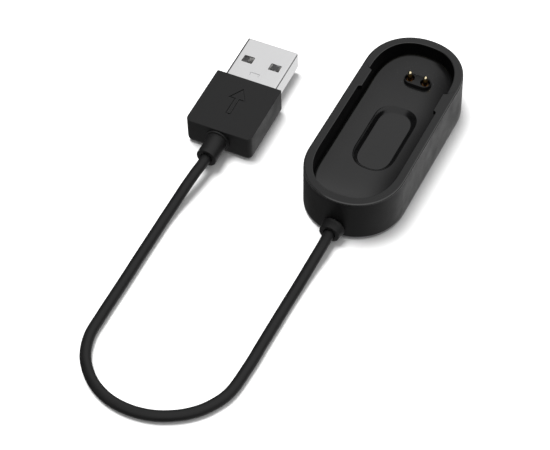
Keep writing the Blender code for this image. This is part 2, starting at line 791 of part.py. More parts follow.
def plug_overmould(parent):
    """The soft grip, hollow for the shell, the inner mould and the lead's sleeve."""
    edge = 0.15 * MM
    rings = []
    for degrees in (0.0, 30.0, 60.0, 90.0):
        angle = math.radians(degrees)
        inset = OVERMOULD_FOOT * (1.0 - math.sin(angle))
        rings.append(flat_ring(overmould_outline(inset), OVERMOULD_FOOT * (1.0 - math.cos(angle))))
    rings.append(flat_ring(overmould_outline(), OVERMOULD_HEIGHT - edge))
    rings.append(flat_ring(overmould_outline(edge), OVERMOULD_HEIGHT))
    grip = loft("plug_overmould", rings, soft_black("overmould_rubber"), parent)
    over = 1.0 * MM
    half = USB_WIDTH / 2 + SEAM
    tall = USB_HEIGHT / 2 + SEAM
    cut(grip, box("shell_slot_tool", (-half, -USB_BURIED - SEAM, PLUG_AXIS_Z - tall),
                  (half, over, PLUG_AXIS_Z + tall), parent=parent))
    half = MOULD_WIDTH / 2 + GAP
    tall = MOULD_HEIGHT / 2 + GAP
    cut(grip, box("mould_slot_tool", (-half, MOULD_BACK - GAP, PLUG_AXIS_Z - tall),
                  (half, -USB_BURIED + SEAM, PLUG_AXIS_Z + tall), parent=parent))
    bore = turned("sleeve_bore_tool",
                  [(0.0, 0.0), (BOOT_NECK + GAP, 0.0), (BOOT_NECK + GAP, 8.0 * MM), (0.0, 8.0 * MM)],
                  parent=parent)
    bore.location = (0.0, MOULD_BACK + 1.0 * MM, PLUG_AXIS_Z)
    bore.rotation_euler = (math.pi / 2, 0.0, 0.0)
    cut(grip, bore)
    return grip


def plug_strain_relief(parent):
    """A straight sleeve round the lead with a thin collar against the grip."""
    base = OVERMOULD_LENGTH + SEAM
    tip = base + SLEEVE_LENGTH
    neck_end = 2 * GAP - MOULD_BACK
    chamfer = 0.2 * MM
    profile = [(0.0, OVERMOULD_LENGTH), (WIRE_BORE, OVERMOULD_LENGTH), (WIRE_BORE, neck_end),
               (BOOT_NECK, neck_end), (BOOT_NECK, base), (SLEEVE_COLLAR, base),
               (SLEEVE_COLLAR, base + SLEEVE_COLLAR_THICKNESS),
               (SLEEVE_RADIUS, base + SLEEVE_COLLAR_THICKNESS), (SLEEVE_RADIUS, tip - chamfer),
               (SLEEVE_RADIUS - chamfer, tip), (0.0, tip)]
    sleeve = turned("plug_strain_relief", profile, soft_black("plug_sleeve_rubber"), parent)
    sleeve.location = (0.0, 0.0, PLUG_AXIS_Z)
    sleeve.rotation_euler = (math.pi / 2, 0.0, 0.0)
    return sleeve


def plug_inner_mould(parent):
    """The hard block behind the shell, with room for the contact tails and both wires."""
    half = MOULD_WIDTH / 2
    tall = MOULD_HEIGHT / 2
    front = -USB_BURIED - GAP
    mould = box("plug_inner_mould", (-half, MOULD_BACK, PLUG_AXIS_Z - tall),
                (half, front, PLUG_AXIS_Z + tall), dark_insulator("inner_mould_plastic"), parent)
    room = 0.6 * MM
    over = 1.0 * MM
    tail_end = -9.3 * MM
    cut(mould, box("tail_room_tool", (-4.3 * MM, tail_end, PLUG_AXIS_Z - room),
                   (4.3 * MM, front + over, PLUG_AXIS_Z + room), parent=parent))
    cut(mould, box("wire_room_tool", (-1.6 * MM, MOULD_BACK - over, PLUG_AXIS_Z - room),
                   (1.6 * MM, tail_end + over, PLUG_AXIS_Z + room), parent=parent))
    return mould


def usb_shell(parent):
    """The folded steel sleeve of the plug, open at both ends, with latch windows."""
    outer = rounded_rectangle(USB_WIDTH / 2, USB_HEIGHT / 2, USB_CORNER)
    inner = rounded_rectangle(USB_WIDTH / 2 - USB_WALL, USB_HEIGHT / 2 - USB_WALL,
                              USB_CORNER - USB_WALL)
    count = len(outer)
    rings = [[(x, y, z + PLUG_AXIS_Z) for x, z in outline]
             for outline, y in ((outer, -USB_BURIED), (outer, USB_EXPOSED),
                                (inner, USB_EXPOSED), (inner, -USB_BURIED))]
    verts = [point for ring in rings for point in ring]
    faces = []
    for level in range(4):
        low = level * count
        high = (level + 1) % 4 * count
        for index in range(count):
            after = (index + 1) % count
            faces.append((low + index, low + after, high + after, high + index))
    mesh = closed_mesh("usb_shell", verts, faces)
    shell = add_object("usb_shell", mesh, bright_steel("shell_steel"), parent)
    for side, label in ((-1.0, "left"), (1.0, "right")):
        x = side * WINDOW_X
        cut(shell, box("window_" + label + "_tool",
                       (x - WINDOW_WIDTH / 2, WINDOW_Y - WINDOW_LENGTH / 2, 0.0),
                       (x + WINDOW_WIDTH / 2, WINDOW_Y + WINDOW_LENGTH / 2, OVERMOULD_HEIGHT),
                       parent=parent))
    return shell


def tongue_top():
    return PLUG_AXIS_Z - USB_HEIGHT / 2 + USB_WALL + SNUG + TONGUE_THICKNESS


def usb_tongue(parent):
    """The insulator inside the shell: a full height block and a tongue in the lower half."""
    half = TONGUE_WIDTH / 2
    low = tongue_top() - TONGUE_THICKNESS
    high = PLUG_AXIS_Z + USB_HEIGHT / 2 - USB_WALL - SNUG
    start = -USB_BURIED + SEAM
    tongue = box("usb_tongue", (-half, start, low), (half, TONGUE_END, tongue_top()),
                 grey_insulator("tongue_plastic"), parent)
    join(tongue, box("tongue_block_tool", (-half, start, low), (half, TONGUE_BLOCK_END, high),
                     parent=parent))
    for number, (x, end) in enumerate(zip(CONTACT_XS, CONTACT_ENDS), start=1):
        wide = CONTACT_WIDTH / 2 + SNUG
        middle = tongue_top() - CONTACT_THICKNESS / 2
        tall = CONTACT_THICKNESS / 2 + SNUG
        cut(tongue, box("contact_slot_{}_tool".format(number), (x - wide, start - SEAM, middle - tall),
                        (x + wide, end + SNUG, middle + tall), parent=parent))
    return tongue


def usb_contact(number, x, end, parent):
    """One flat contact, from its solder tail to its wiping end."""
    wide = CONTACT_WIDTH / 2
    top = tongue_top()
    return box("usb_contact_{}".format(number), (x - wide, CONTACT_TAIL, top - CONTACT_THICKNESS),
               (x + wide, end, top), tin_plate("contact_plating_{}".format(number)), parent)


def build_cradle():
    cradle_shell()
    base_cover()
    circuit_board()
    board_component("resettable_fuse", (5.5 * MM, 17.5 * MM), (1.2 * MM, 2.4 * MM, 0.55 * MM),
                    chip_ceramic("fuse_ceramic"))
    board_component("filter_capacitor", (-5.5 * MM, 17.5 * MM), (0.9 * MM, 1.7 * MM, 0.6 * MM),
                    chip_ceramic("capacitor_ceramic"))
    pin_block()
    for side, label in ((-1.0, "left"), (1.0, "right")):
        x = side * PIN_PITCH / 2
        pin_barrel(label, x)
        pin_spring(label, x)
        pin_plunger(label, x)
    wire("cradle_wire_positive", CRADLE_WIRE_ROUTE, (0.45, 0.02, 0.015))
    wire("cradle_wire_negative", mirrored(CRADLE_WIRE_ROUTE), (0.02, 0.02, 0.02))
    cradle_strain_relief()


def build_plug():
    frame = plug_frame()
    plug_overmould(frame)
    plug_strain_relief(frame)
    plug_inner_mould(frame)
    usb_shell(frame)
    usb_tongue(frame)
    for number, (x, end) in enumerate(zip(CONTACT_XS, CONTACT_ENDS), start=1):
        usb_contact(number, x, end, frame)
    wire("plug_wire_positive", PLUG_WIRE_ROUTE, (0.45, 0.02, 0.015), frame)
    wire("plug_wire_negative", mirrored(PLUG_WIRE_ROUTE), (0.02, 0.02, 0.02), frame)


def main():
    clear_scene()
    build_cradle()
    lead_cable()
    build_plug()
    bpy.context.view_layer.update()


main()
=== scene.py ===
"""Looks of the charging cradle: fine meshes, materials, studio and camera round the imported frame.

Lengths are metres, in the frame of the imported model: +Z up, +Y along the cradle to its pins.
"""
import math

import bmesh
import bpy
from mathutils import Matrix, Vector


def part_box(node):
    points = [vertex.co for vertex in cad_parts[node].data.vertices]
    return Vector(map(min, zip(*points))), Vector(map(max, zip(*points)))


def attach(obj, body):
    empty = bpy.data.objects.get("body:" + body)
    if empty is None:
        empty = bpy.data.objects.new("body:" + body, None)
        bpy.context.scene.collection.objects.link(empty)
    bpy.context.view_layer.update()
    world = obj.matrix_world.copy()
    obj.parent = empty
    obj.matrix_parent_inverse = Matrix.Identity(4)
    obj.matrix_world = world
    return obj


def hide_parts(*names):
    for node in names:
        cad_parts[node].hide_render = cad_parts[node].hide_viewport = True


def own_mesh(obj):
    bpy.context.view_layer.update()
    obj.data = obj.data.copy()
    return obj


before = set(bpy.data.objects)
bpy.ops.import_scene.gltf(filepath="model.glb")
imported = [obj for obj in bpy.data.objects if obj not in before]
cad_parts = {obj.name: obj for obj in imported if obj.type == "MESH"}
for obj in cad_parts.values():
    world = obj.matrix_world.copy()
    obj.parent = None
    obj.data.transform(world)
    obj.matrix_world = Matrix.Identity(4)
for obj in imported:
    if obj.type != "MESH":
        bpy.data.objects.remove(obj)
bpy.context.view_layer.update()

MM = 0.001

# Cradle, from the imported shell
SHELL_LOW, SHELL_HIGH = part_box("cradle_shell")
CRADLE_LENGTH = SHELL_HIGH.y - SHELL_LOW.y
CRADLE_WIDTH = SHELL_HIGH.x - SHELL_LOW.x
CRADLE_TOP = SHELL_HIGH.z
SHELL_LIFT = SHELL_LOW.z
CRADLE_END_DEPTH = 11.0 * MM
CRADLE_SQUARENESS = 2.1
WALL_DRAFT = 0.1 * MM
RIM_FILLET = 0.4 * MM
LOWER_FILLET = 0.12 * MM

# Space under the floor
CAVITY_INSET = 2.1 * MM
CAVITY_TOP = 3.35 * MM
SEAT_INSET = 1.15 * MM
SEAT_TOP = 1.5 * MM
BAY_TOP = 3.95 * MM
BAY_WIDTH = 13.2 * MM
BAY_START = 14.6 * MM
BAY_END = 21.1 * MM

# Pocket and the recess in its floor
POCKET_LENGTH = 45.6 * MM
POCKET_WIDTH = 17.8 * MM
POCKET_END_DEPTH = 10.6 * MM
POCKET_SQUARENESS = 2.38
POCKET_LIP = 0.15 * MM
FLOOR_HEIGHT = 4.35 * MM
FLOOR_RISE = 2.8 * MM
FLOOR_FLAT = 8.0 * MM
FLOOR_DISH = 1.3 * MM
FLOOR_FILLET = 0.8 * MM
RECESS_LENGTH = 18.6 * MM
RECESS_WIDTH = 9.1 * MM
RECESS_Y = 0.3 * MM
RECESS_DEPTH = 0.9 * MM
RECESS_SLOPE = 1.0 * MM
RECESS_END_DEPTH = 5.0 * MM
RECESS_SQUARENESS = 2.5
RECESS_EDGE = 0.12 * MM
ISLAND_WALL = 0.7 * MM

# Grip tabs on the pocket's long walls
TAB_LENGTH = 5.8 * MM
TAB_REACH = 0.7 * MM
TAB_DEPTH = 1.6 * MM
TAB_SLOPE = 0.4 * MM
TAB_SHOULDER = 0.45 * MM
TAB_Y = 8.8 * MM

# Base cover
COVER_EDGE = 0.5 * MM
COVER_TOP_FILLET = 0.2 * MM
COVER_INSET = 1.45 * MM
COVER_TOP = 1.2 * MM
SEAM = 0.1 * MM

# Contact pins
PIN_PITCH = 3.6 * MM
PIN_Y = 17.3 * MM
BLOCK_LENGTH = 6.1 * MM
BLOCK_WIDTH = 2.95 * MM
BLOCK_BORE = 1.05 * MM
BLOCK_FLANGE = 1.0 * MM
BLOCK_FLANGE_THICKNESS = 0.6 * MM
BLOCK_EDGE = 0.18 * MM
BLOCK_CHAMFER = 0.12 * MM
BLOCK_CLEARANCE = 0.06 * MM
BARREL_RADIUS = 0.85 * MM
BARREL_BORE = 0.68 * MM
BARREL_MOUTH = 0.54 * MM
BARREL_FLOOR = 0.2 * MM
BARREL_LIP = 0.15 * MM
PLUNGER_RADIUS = 0.48 * MM
PLUNGER_FLANGE = 0.62 * MM
PLUNGER_FLANGE_THICKNESS = 0.25 * MM
SPRING_RADIUS = 0.42 * MM
SPRING_WIRE = 0.07 * MM
SPRING_TURNS = 5.5

# Lead and the cradle's strain relief
CABLE_RADIUS = 1.15 * MM
CABLE_MOUTH = 1.35 * MM
CABLE_TUCK = 0.55 * MM
LEAD_EXIT_Z = 2.9 * MM
BOOT_TIP_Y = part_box("cradle_strain_relief")[0].y
BOOT_BASE_RADIUS = 2.55 * MM
BOOT_TIP_RADIUS = 2.2 * MM
BOOT_NECK = 1.35 * MM
WIRE_BORE = 1.0 * MM
ANCHOR_WIDTH = 5.2 * MM
ANCHOR_HEIGHT = 2.6 * MM
ANCHOR_THICKNESS = 1.1 * MM
ANCHOR_Y = -21.35 * MM
HOLE_CLEARANCE = 0.3 * MM

# Plug, in its own frame: origin on the table under the grip's front face, +Y to its tip
PLUG_POSITION = Vector((-32.25, 1.05, 0.0)) * MM
PLUG_TURN = math.radians(1.6)
PLUG_FRAME = Matrix.Translation(PLUG_POSITION) @ Matrix.Rotation(PLUG_TURN, 4, "Z")
PLUG_AXIS_Z = 3.75 * MM
GRIP_WIDTH = 15.2 * MM
GRIP_LENGTH = 15.8 * MM
GRIP_HEIGHT = 6.75 * MM
GRIP_BACK_CORNER = 1.15 * MM
GRIP_FRONT_CORNER = 0.3 * MM
GRIP_FOOT = 1.3 * MM
GRIP_EDGE = 0.12 * MM
SLEEVE_RADIUS = 2.25 * MM
SLEEVE_LENGTH = 5.6 * MM
SLEEVE_COLLAR = 2.7 * MM
SLEEVE_COLLAR_THICKNESS = 0.35 * MM
MOULD_WIDTH = 11.0 * MM
MOULD_HEIGHT = 3.8 * MM
MOULD_BACK = -10.6 * MM
USB_WIDTH = 12.0 * MM
USB_HEIGHT = 4.5 * MM
USB_WALL = 0.3 * MM
USB_CORNER = 0.55 * MM
USB_EXPOSED = 12.0 * MM
USB_BURIED = 5.0 * MM
WINDOW_X = 3.2 * MM
WINDOW_Y = 6.05 * MM
WINDOW_WIDTH = 2.5 * MM
WINDOW_LENGTH = 2.0 * MM
WINDOW_CORNER = 0.18 * MM
PRESSED_TAB_WIDTH = 2.0 * MM
PRESSED_TAB_START = 2.06 * MM
PRESSED_TAB_END = 2.85 * MM
GROOVE_HALF = 0.08 * MM
TONGUE_WIDTH = 11.2 * MM
TONGUE_THICKNESS = 1.9 * MM
TONGUE_END = 10.9 * MM
TONGUE_BLOCK_END = 1.6 * MM
TONGUE_TOP = 3.75 * MM
CONTACT_XS = (-3.5 * MM, -1.0 * MM, 1.0 * MM, 3.5 * MM)
CONTACT_ENDS = (10.0 * MM, 9.0 * MM, 9.0 * MM, 10.0 * MM)
CONTACT_WIDTH = 1.0 * MM
CONTACT_THICKNESS = 0.2 * MM
CONTACT_CORNER = 0.09 * MM
CONTACT_TAIL = -6.3 * MM
CONTACT_BOW = 0.22 * MM

# Engraved arrow on the grip's top, pointing to the tip
ARROW_DEPTH = 0.2 * MM
ARROW_LINE = 0.26 * MM
ARROW_WIDTH = 4.0 * MM
ARROW_SHAFT = 1.24 * MM
ARROW_TAIL = -10.7 * MM
ARROW_NECK = -6.2 * MM
ARROW_POINT = -2.9 * MM

# Width of the paler line along edges: rubbed wear and painted highlight
WEAR_AND_HIGHLIGHT_RADIUS = 0.12 * MM

# Counts of steps, and the angle that still shades smooth
END_STEPS = 26
ROUND_STEPS = 72
ROUTE_STEPS = 24
SMOOTH_ANGLE = math.radians(38.0)

# Route of the lead's middle line, from the cradle to the plug, in millimetres
CABLE_ROUTE = (
    (0.0, -27.35, 2.9),
    (0.05, -30.1, 2.65),
    (-0.2, -35.2, 1.85),
    (-0.35, -40.5, 1.3),
    (-0.45, -45.9, 1.17),
    (-0.46, -51.3, 1.17),
    (-0.46, -56.6, 1.17),
    (-0.46, -61.9, 1.17),
    (-0.94, -68.9, 1.17),
    (-2.9, -73.4, 1.17),
    (-5.55, -76.5, 1.17),
    (-8.7, -78.7, 1.17),
    (-12.2, -80.2, 1.17),
    (-16.2, -80.9, 1.17),
    (-20.5, -80.6, 1.17),
    (-24.2, -79.3, 1.17),
    (-27.3, -77.2, 1.17),
    (-30.3, -73.7, 1.17),
    (-32.0, -69.1, 1.17),
    (-32.3, -63.9, 1.17),
    (-32.4, -58.5, 1.17),
    (-32.5, -53.0, 1.17),
    (-32.65, -47.4, 1.17),
    (-32.75, -41.6, 1.17),
    (-32.8, -36.8, 1.3),
    (-32.65, -33.2, 1.75),
    (-32.45, -30.8, 2.3),
    (-32.2, -28.2, 2.95),
    (-31.9, -24.8, 3.5),
    (-31.65, -20.75, 3.75),
)


# Camera

CAMERA_TARGET = Vector((-11.718, -28.136, 0.75)) * MM
CAMERA_DISTANCE = 386.324 * MM
CAMERA_ELEVATION = math.radians(51.135)
CAMERA_AZIMUTH = math.radians(27.925)
CAMERA_ROLL = math.radians(-1.84)
CAMERA_LENS = 123.07
CAMERA_SENSOR = 36.0


def add_camera():
    data = bpy.data.cameras.new("camera")
    data.lens = CAMERA_LENS
    data.sensor_width = CAMERA_SENSOR
    data.clip_start = 10.0 * MM
    data.clip_end = 20.0
    camera = as_object("camera", data)
    camera.matrix_world = (Matrix.Translation(CAMERA_TARGET)
                           @ Matrix.Rotation(CAMERA_AZIMUTH, 4, "Z")
                           @ Matrix.Rotation(math.pi / 2 - CAMERA_ELEVATION, 4, "X")
                           @ Matrix.Rotation(CAMERA_ROLL, 4, "Z")
                           @ Matrix.Translation((0.0, 0.0, CAMERA_DISTANCE)))
    bpy.context.scene.camera = camera


# Curves and outlines

def smooth_route(points, step):
    """Points at even steps along a smooth curve through the given points."""
    points = [2.0 * points[0] - points[1]] + points + [2.0 * points[-1] - points[-2]]
    fine = []
    for before, start, end, after in zip(points, points[1:], points[2:], points[3:]):
        for index in range(ROUTE_STEPS):
            t = index / ROUTE_STEPS
            fine.append(0.5 * (2.0 * start + (end - before) * t
                               + (2.0 * before - 5.0 * start + 4.0 * end - after) * t ** 2
                               + (3.0 * start - before - 3.0 * end + after) * t ** 3))
    fine.append(points[-2])
    lengths = [0.0]
    for start, end in zip(fine, fine[1:]):
        lengths.append(lengths[-1] + (end - start).length)
    count = max(2, round(lengths[-1] / step))
    even = []
    place = 0
    for index in range(count + 1):
        wanted = lengths[-1] * index / count
        while place < len(fine) - 2 and lengths[place + 1] < wanted:
            place += 1
        share = (wanted - lengths[place]) / (lengths[place + 1] - lengths[place])
        even.append(fine[place].lerp(fine[place + 1], min(max(share, 0.0), 1.0)))
    return even


def smoothstep(value):
    value = min(max(value, 0.0), 1.0)
    return value * value * (3.0 - 2.0 * value)


def tab_weight(y):
    """One along a grip tab, falling smoothly to nothing at its shoulders."""
    return smoothstep((TAB_LENGTH / 2 - abs(y - TAB_Y)) / TAB_SHOULDER)


def side_fractions():
    """Places along a long side, closer together at the shoulders of the grip tabs."""
    straight = POCKET_LENGTH / 2 - POCKET_END_DEPTH
    shoulders = []
    for sign in (-1.0, 1.0):
        outer = TAB_Y + sign * TAB_LENGTH / 2
        shoulders.extend((outer - sign * TAB_SHOULDER * step / 6) / straight for step in range(7))
    even = [step / 12.0 for step in range(-11, 12)]
    clear = [value for value in even if all(abs(value - other) > 0.012 for other in shoulders)]
    return sorted(clear + shoulders)


SIDE_FRACTIONS = side_fractions()


def capsule_outline(length, width, end_depth, squareness, inset=0.0):
    """A long outline with rounded ends, from the -Y pole round by +X, symmetric about x = 0."""
    half_width = width / 2 - inset
    depth = end_depth - inset
    straight = length / 2 - end_depth
    power = 2.0 / squareness
    corner = []
    for step in range(END_STEPS + 1):
        angle = 0.5 * math.pi * step / END_STEPS
        corner.append((half_width * math.sin(angle) ** power,
                       straight + depth * max(math.cos(angle), 0.0) ** power))
    corner[-1] = (half_width, straight)
    right = [(x, -y) for x, y in corner]
    right.extend((half_width, straight * fraction) for fraction in SIDE_FRACTIONS)
    right.extend(reversed(corner))
    left = [(-x, y) for x, y in reversed(right[1:-1])]
    return right + left


def cradle_outline(inset=0.0):
    return capsule_outline(CRADLE_LENGTH, CRADLE_WIDTH, CRADLE_END_DEPTH, CRADLE_SQUARENESS, inset)


def pocket_outline(inset=0.0):
    return capsule_outline(POCKET_LENGTH, POCKET_WIDTH, POCKET_END_DEPTH, POCKET_SQUARENESS, inset)


def recess_outline(inset=0.0):
    outline = capsule_outline(RECESS_LENGTH, RECESS_WIDTH, RECESS_END_DEPTH, RECESS_SQUARENESS,
                              inset)
    return [(x, y + RECESS_Y) for x, y in outline]


def flat_ring(outline, z):
    return [Vector((x, y, z)) for x, y in outline]


def stadium_outline(half_length, radius):
    """An outline with straight sides along X and half-round ends."""
    points = []
    steps = 20
    for side in (1.0, -1.0):
        for step in range(steps + 1):
            angle = math.pi * (step / steps - 0.5)
            points.append((side * (half_length - radius + radius * math.cos(angle)),
                           side * radius * math.sin(angle)))
    return points


def rounded_rectangle(half_width, low, high, low_corner, high_corner, steps=8):
    """A rectangle centred on x = 0, with a corner radius for its low end and one for its high."""
    points = []
    for sign, centre, corner, first in ((1, high - high_corner, high_corner, 0.0),
                                        (-1, high - high_corner, high_corner, 0.5),
                                        (-1, low + low_corner, low_corner, 1.0),
                                        (1, low + low_corner, low_corner, 1.5)):
        for step in range(steps + 1):
            angle = math.pi * (first + 0.5 * step / steps)
            points.append((sign * (half_width - corner) + corner * math.cos(angle),
                           centre + corner * math.sin(angle)))
    return points


def quarter(steps):
    """Pairs of (1 - cos, 1 - sin) from the start to the end of a quarter turn."""
    angles = [0.5 * math.pi * step / steps for step in range(steps + 1)]
    return [(1.0 - math.cos(angle), 1.0 - math.sin(angle)) for angle in angles]


def rounded_foot(outline, bottom, fillet, steps):
    """Rings round a lower outer edge, from the bottom face to the wall."""
    return [flat_ring(outline(fillet * lift), bottom + fillet * out)
            for out, lift in quarter(steps)]


def rounded_top(outline, top, fillet, steps, inset=0.0):
    """Rings round an upper outer edge, from the wall to the top face."""
    return [flat_ring(outline(inset + fillet * out), top - fillet * lift)
            for out, lift in quarter(steps)]


def rounded_profile(corners, steps=5):
    """A profile of (radius, height, fillet) corners, with each fillet as a short arc."""
    points = []
    for index, (radius, height, fillet) in enumerate(corners):
        here = Vector((radius, height))
        if fillet == 0.0:
            points.append((radius, height))
            continue
        before = Vector(corners[index - 1][:2]) - here
        after = Vector(corners[(index + 1) % len(corners)][:2]) - here
        start = here + before.normalized() * min(fillet, 0.48 * before.length)
        end = here + after.normalized() * min(fillet, 0.48 * after.length)
        for step in range(steps + 1):
            t = step / steps
            point = start.lerp(here, t).lerp(here.lerp(end, t), t)
            points.append((point.x, point.y))
    return points


# Meshes

def finished(shape):
    mesh = bpy.data.meshes.new("mesh")
    shape.to_mesh(mesh)
    shape.free()
    return mesh


def closed_mesh(verts, faces):
    shape = bmesh.new()
    points = [shape.verts.new(vert) for vert in verts]
    for face in faces:
        shape.faces.new([points[index] for index in face])
    bmesh.ops.recalc_face_normals(shape, faces=shape.faces)
    return finished(shape)


def strip_cap(start, count):
    """Faces that close a symmetric ring by strips between its two halves."""
    half = count // 2
    faces = [(start, start + 1, start + count - 1)]
    for index in range(1, half - 1):
        faces.append((start + index, start + index + 1,
                      start + count - index - 1, start + count - index))
    faces.append((start + half - 1, start + half, start + half + 1))
    return faces


def loft(rings, caps="flat"):
    """A closed mesh through rings of equal count.

    The ends are closed by one face each (flat), by strips between two mirrored halves (strips),
    or by joining the last ring to the first (loop).
    """
    count = len(rings[0])
    verts = [point for ring in rings for point in ring]
    faces = []
    levels = len(rings) if caps == "loop" else len(rings) - 1
    for level in range(levels):
        low = level * count
        high = (level + 1) % len(rings) * count
        for index in range(count):
            after = (index + 1) % count
            faces.append((low + index, low + after, high + after, high + index))
    for start in (0, (len(rings) - 1) * count):
        if caps == "strips":
            faces.extend(strip_cap(start, count))
        elif caps == "flat":
            faces.append(tuple(range(start, start + count)))
    return closed_mesh(verts, faces)


def turned(profile):
    """A mesh of revolution about Z from a closed profile of (radius, height) points."""
    verts = []
    rows = []
    for radius, height in profile:
        if radius == 0.0:
            rows.append([len(verts)] * ROUND_STEPS)
            verts.append((0.0, 0.0, height))
            continue
        rows.append(list(range(len(verts), len(verts) + ROUND_STEPS)))
        for step in range(ROUND_STEPS):
            angle = 2.0 * math.pi * step / ROUND_STEPS
            verts.append((radius * math.cos(angle), radius * math.sin(angle), height))
    faces = []
    for row, following in zip(rows, rows[1:] + rows[:1]):
        for step in range(ROUND_STEPS):
            after = (step + 1) % ROUND_STEPS
            corners = [row[step], row[after], following[after], following[step]]
            corners = list(dict.fromkeys(corners))
            if len(corners) > 2:
                faces.append(corners)
    return closed_mesh(verts, faces)


def block(low, high, bevel=0.0):
    """A rectangular block between two corners, with its edges rounded off."""
    shape = bmesh.new()
    bmesh.ops.create_cube(shape, size=1.0)
    for vert in shape.verts:
        vert.co = Vector([low[axis] + (vert.co[axis] + 0.5) * (high[axis] - low[axis])
                          for axis in range(3)])
    if bevel:
        bmesh.ops.bevel(shape, geom=shape.edges[:], offset=bevel, segments=3, profile=0.5,
                        affect="EDGES")
    return finished(shape)


def tube(points, radius, sides):
    """A round bar along a line of points, with closed ends."""
    rings = []
    normal = (points[1] - points[0]).orthogonal().normalized()
    for index, point in enumerate(points):
        along = (points[min(index + 1, len(points) - 1)] - points[max(index - 1, 0)]).normalized()
        normal = (normal - along * normal.dot(along)).normalized()
        across = along.cross(normal)
        rings.append([point + radius * (math.cos(angle) * normal + math.sin(angle) * across)
                      for angle in (2.0 * math.pi * side / sides for side in range(sides))])
    return loft(rings)


def moved(mesh, matrix):
    mesh.transform(matrix)
    return mesh


def turned_back(profile, y, z):
    """A mesh of revolution about a line that runs towards -Y from the given place."""
    turn = Matrix.Translation((0.0, y, z)) @ Matrix.Rotation(math.pi / 2, 4, "X")
    return moved(turned(profile), turn)


def rod(radius, start, end, y, z):
    """A round bar along -Y, its ends measured from the given place."""
    return turned_back([(0.0, start), (radius, start), (radius, end), (0.0, end)], y, z)


def as_object(name, data):
    item = bpy.data.objects.new(name, data)
    bpy.context.scene.collection.objects.link(item)
    return item


def combined(mesh, tools, operation="DIFFERENCE"):
    """A mesh with the other meshes cut out of it or joined to it."""
    target = as_object("target", mesh)
    helpers = [as_object("tool", tool) for tool in tools]
    for helper in helpers:
        modifier = target.modifiers.new("combine", "BOOLEAN")
        modifier.operation = operation
        modifier.solver = "EXACT"
        modifier.object = helper
    bpy.context.view_layer.update()
    evaluated = target.evaluated_get(bpy.context.evaluated_depsgraph_get())
    result = bpy.data.meshes.new_from_object(evaluated)
    for item in [target] + helpers:
        bpy.data.objects.remove(item)
    return result


def keep_flat(mesh, frame_turn=Matrix.Identity(3)):
    """Leave faces square to the axes flat shaded, so that cuts in them do not bend the light."""
    for face in mesh.polygons:
        face.use_smooth = max(abs(value) for value in frame_turn @ face.normal) < 0.9995


def stand_in(piece, node, body="cradle"):
    """Let a piece ride on a body and take the place of one CAD node."""
    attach(piece, body)
    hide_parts(node)


def add_piece(node, mesh, material, body="cradle"):
    """Put a fine mesh in the scene in place of one CAD node."""
    mesh.shade_smooth()
    mesh.set_sharp_from_angle(angle=SMOOTH_ANGLE)
    mesh.materials.clear()
    mesh.materials.append(material)
    mesh.name = node
    piece = as_object(node + "_look", mesh)
    weighted = piece.modifiers.new("weighted_normals", "WEIGHTED_NORMAL")
    weighted.keep_sharp = True
    stand_in(piece, node, body)
    return piece


# Materials

def feed(tree, node, inputs):
    """Set a node's inputs, each to a value or to another node's output."""
    for key, value in inputs.items():
        if isinstance(value, bpy.types.NodeSocket):
            tree.links.new(value, node.inputs[key])
        else:
            node.inputs[key].default_value = value


def new_node(tree, kind, inputs, output=0, **settings):
    """Add a node with its inputs and settings, and give back one of its outputs."""
    node = tree.nodes.new(kind)
    for name, value in settings.items():
        setattr(node, name, value)
    feed(tree, node, inputs)
    return node.outputs[output]


def noise(tree, vector, scale, detail):
    return new_node(tree, "ShaderNodeTexNoise",
                    {"Vector": vector, "Scale": scale, "Detail": detail, "Roughness": 0.55}, "Fac")


def remap(tree, value, low, high, to_low, to_high):
    return new_node(tree, "ShaderNodeMapRange", {"Value": value, "From Min": low, "From Max": high,
                                                 "To Min": to_low, "To Max": to_high})


def blend_colours(tree, factor, first, second):
    """Mix two colours, each a tuple or a socket."""
    first, second = ((*colour, 1.0) if isinstance(colour, tuple) else colour
                     for colour in (first, second))
    return new_node(tree, "ShaderNodeMix", {0: factor, 6: first, 7: second}, 2, data_type="RGBA")


def blend_values(tree, factor, first, second):
    """Mix two values, each a number or a socket."""
    return new_node(tree, "ShaderNodeMix", {0: factor, 2: first, 3: second}, data_type="FLOAT")


def arithmetic(tree, operation, first, second):
    return new_node(tree, "ShaderNodeMath", {0: first, 1: second}, operation=operation)


def agreement(tree, first, second):
    """How far two directions agree, from one for the same down to minus one for opposite."""
    return new_node(tree, "ShaderNodeVectorMath", {0: first, 1: second}, "Value",
                    operation="DOT_PRODUCT")


def edge_wear_and_highlight(tree, amount):
    """A thin paler line along outward edges, where a rounded normal parts from the true one: rubbed
    wear and painted highlight.
    """
    rounded = new_node(tree, "ShaderNodeBevel", {"Radius": WEAR_AND_HIGHLIGHT_RADIUS}, samples=4)
    true = new_node(tree, "ShaderNodeNewGeometry", {}, "Normal")
    line = remap(tree, agreement(tree, rounded, true), 0.98, 0.85, 0.0, amount)
    pointiness = new_node(tree, "ShaderNodeNewGeometry", {}, "Pointiness")
    outward = remap(tree, pointiness, 0.5, 0.53, 0.0, 1.0)
    return arithmetic(tree, "MULTIPLY", line, outward)


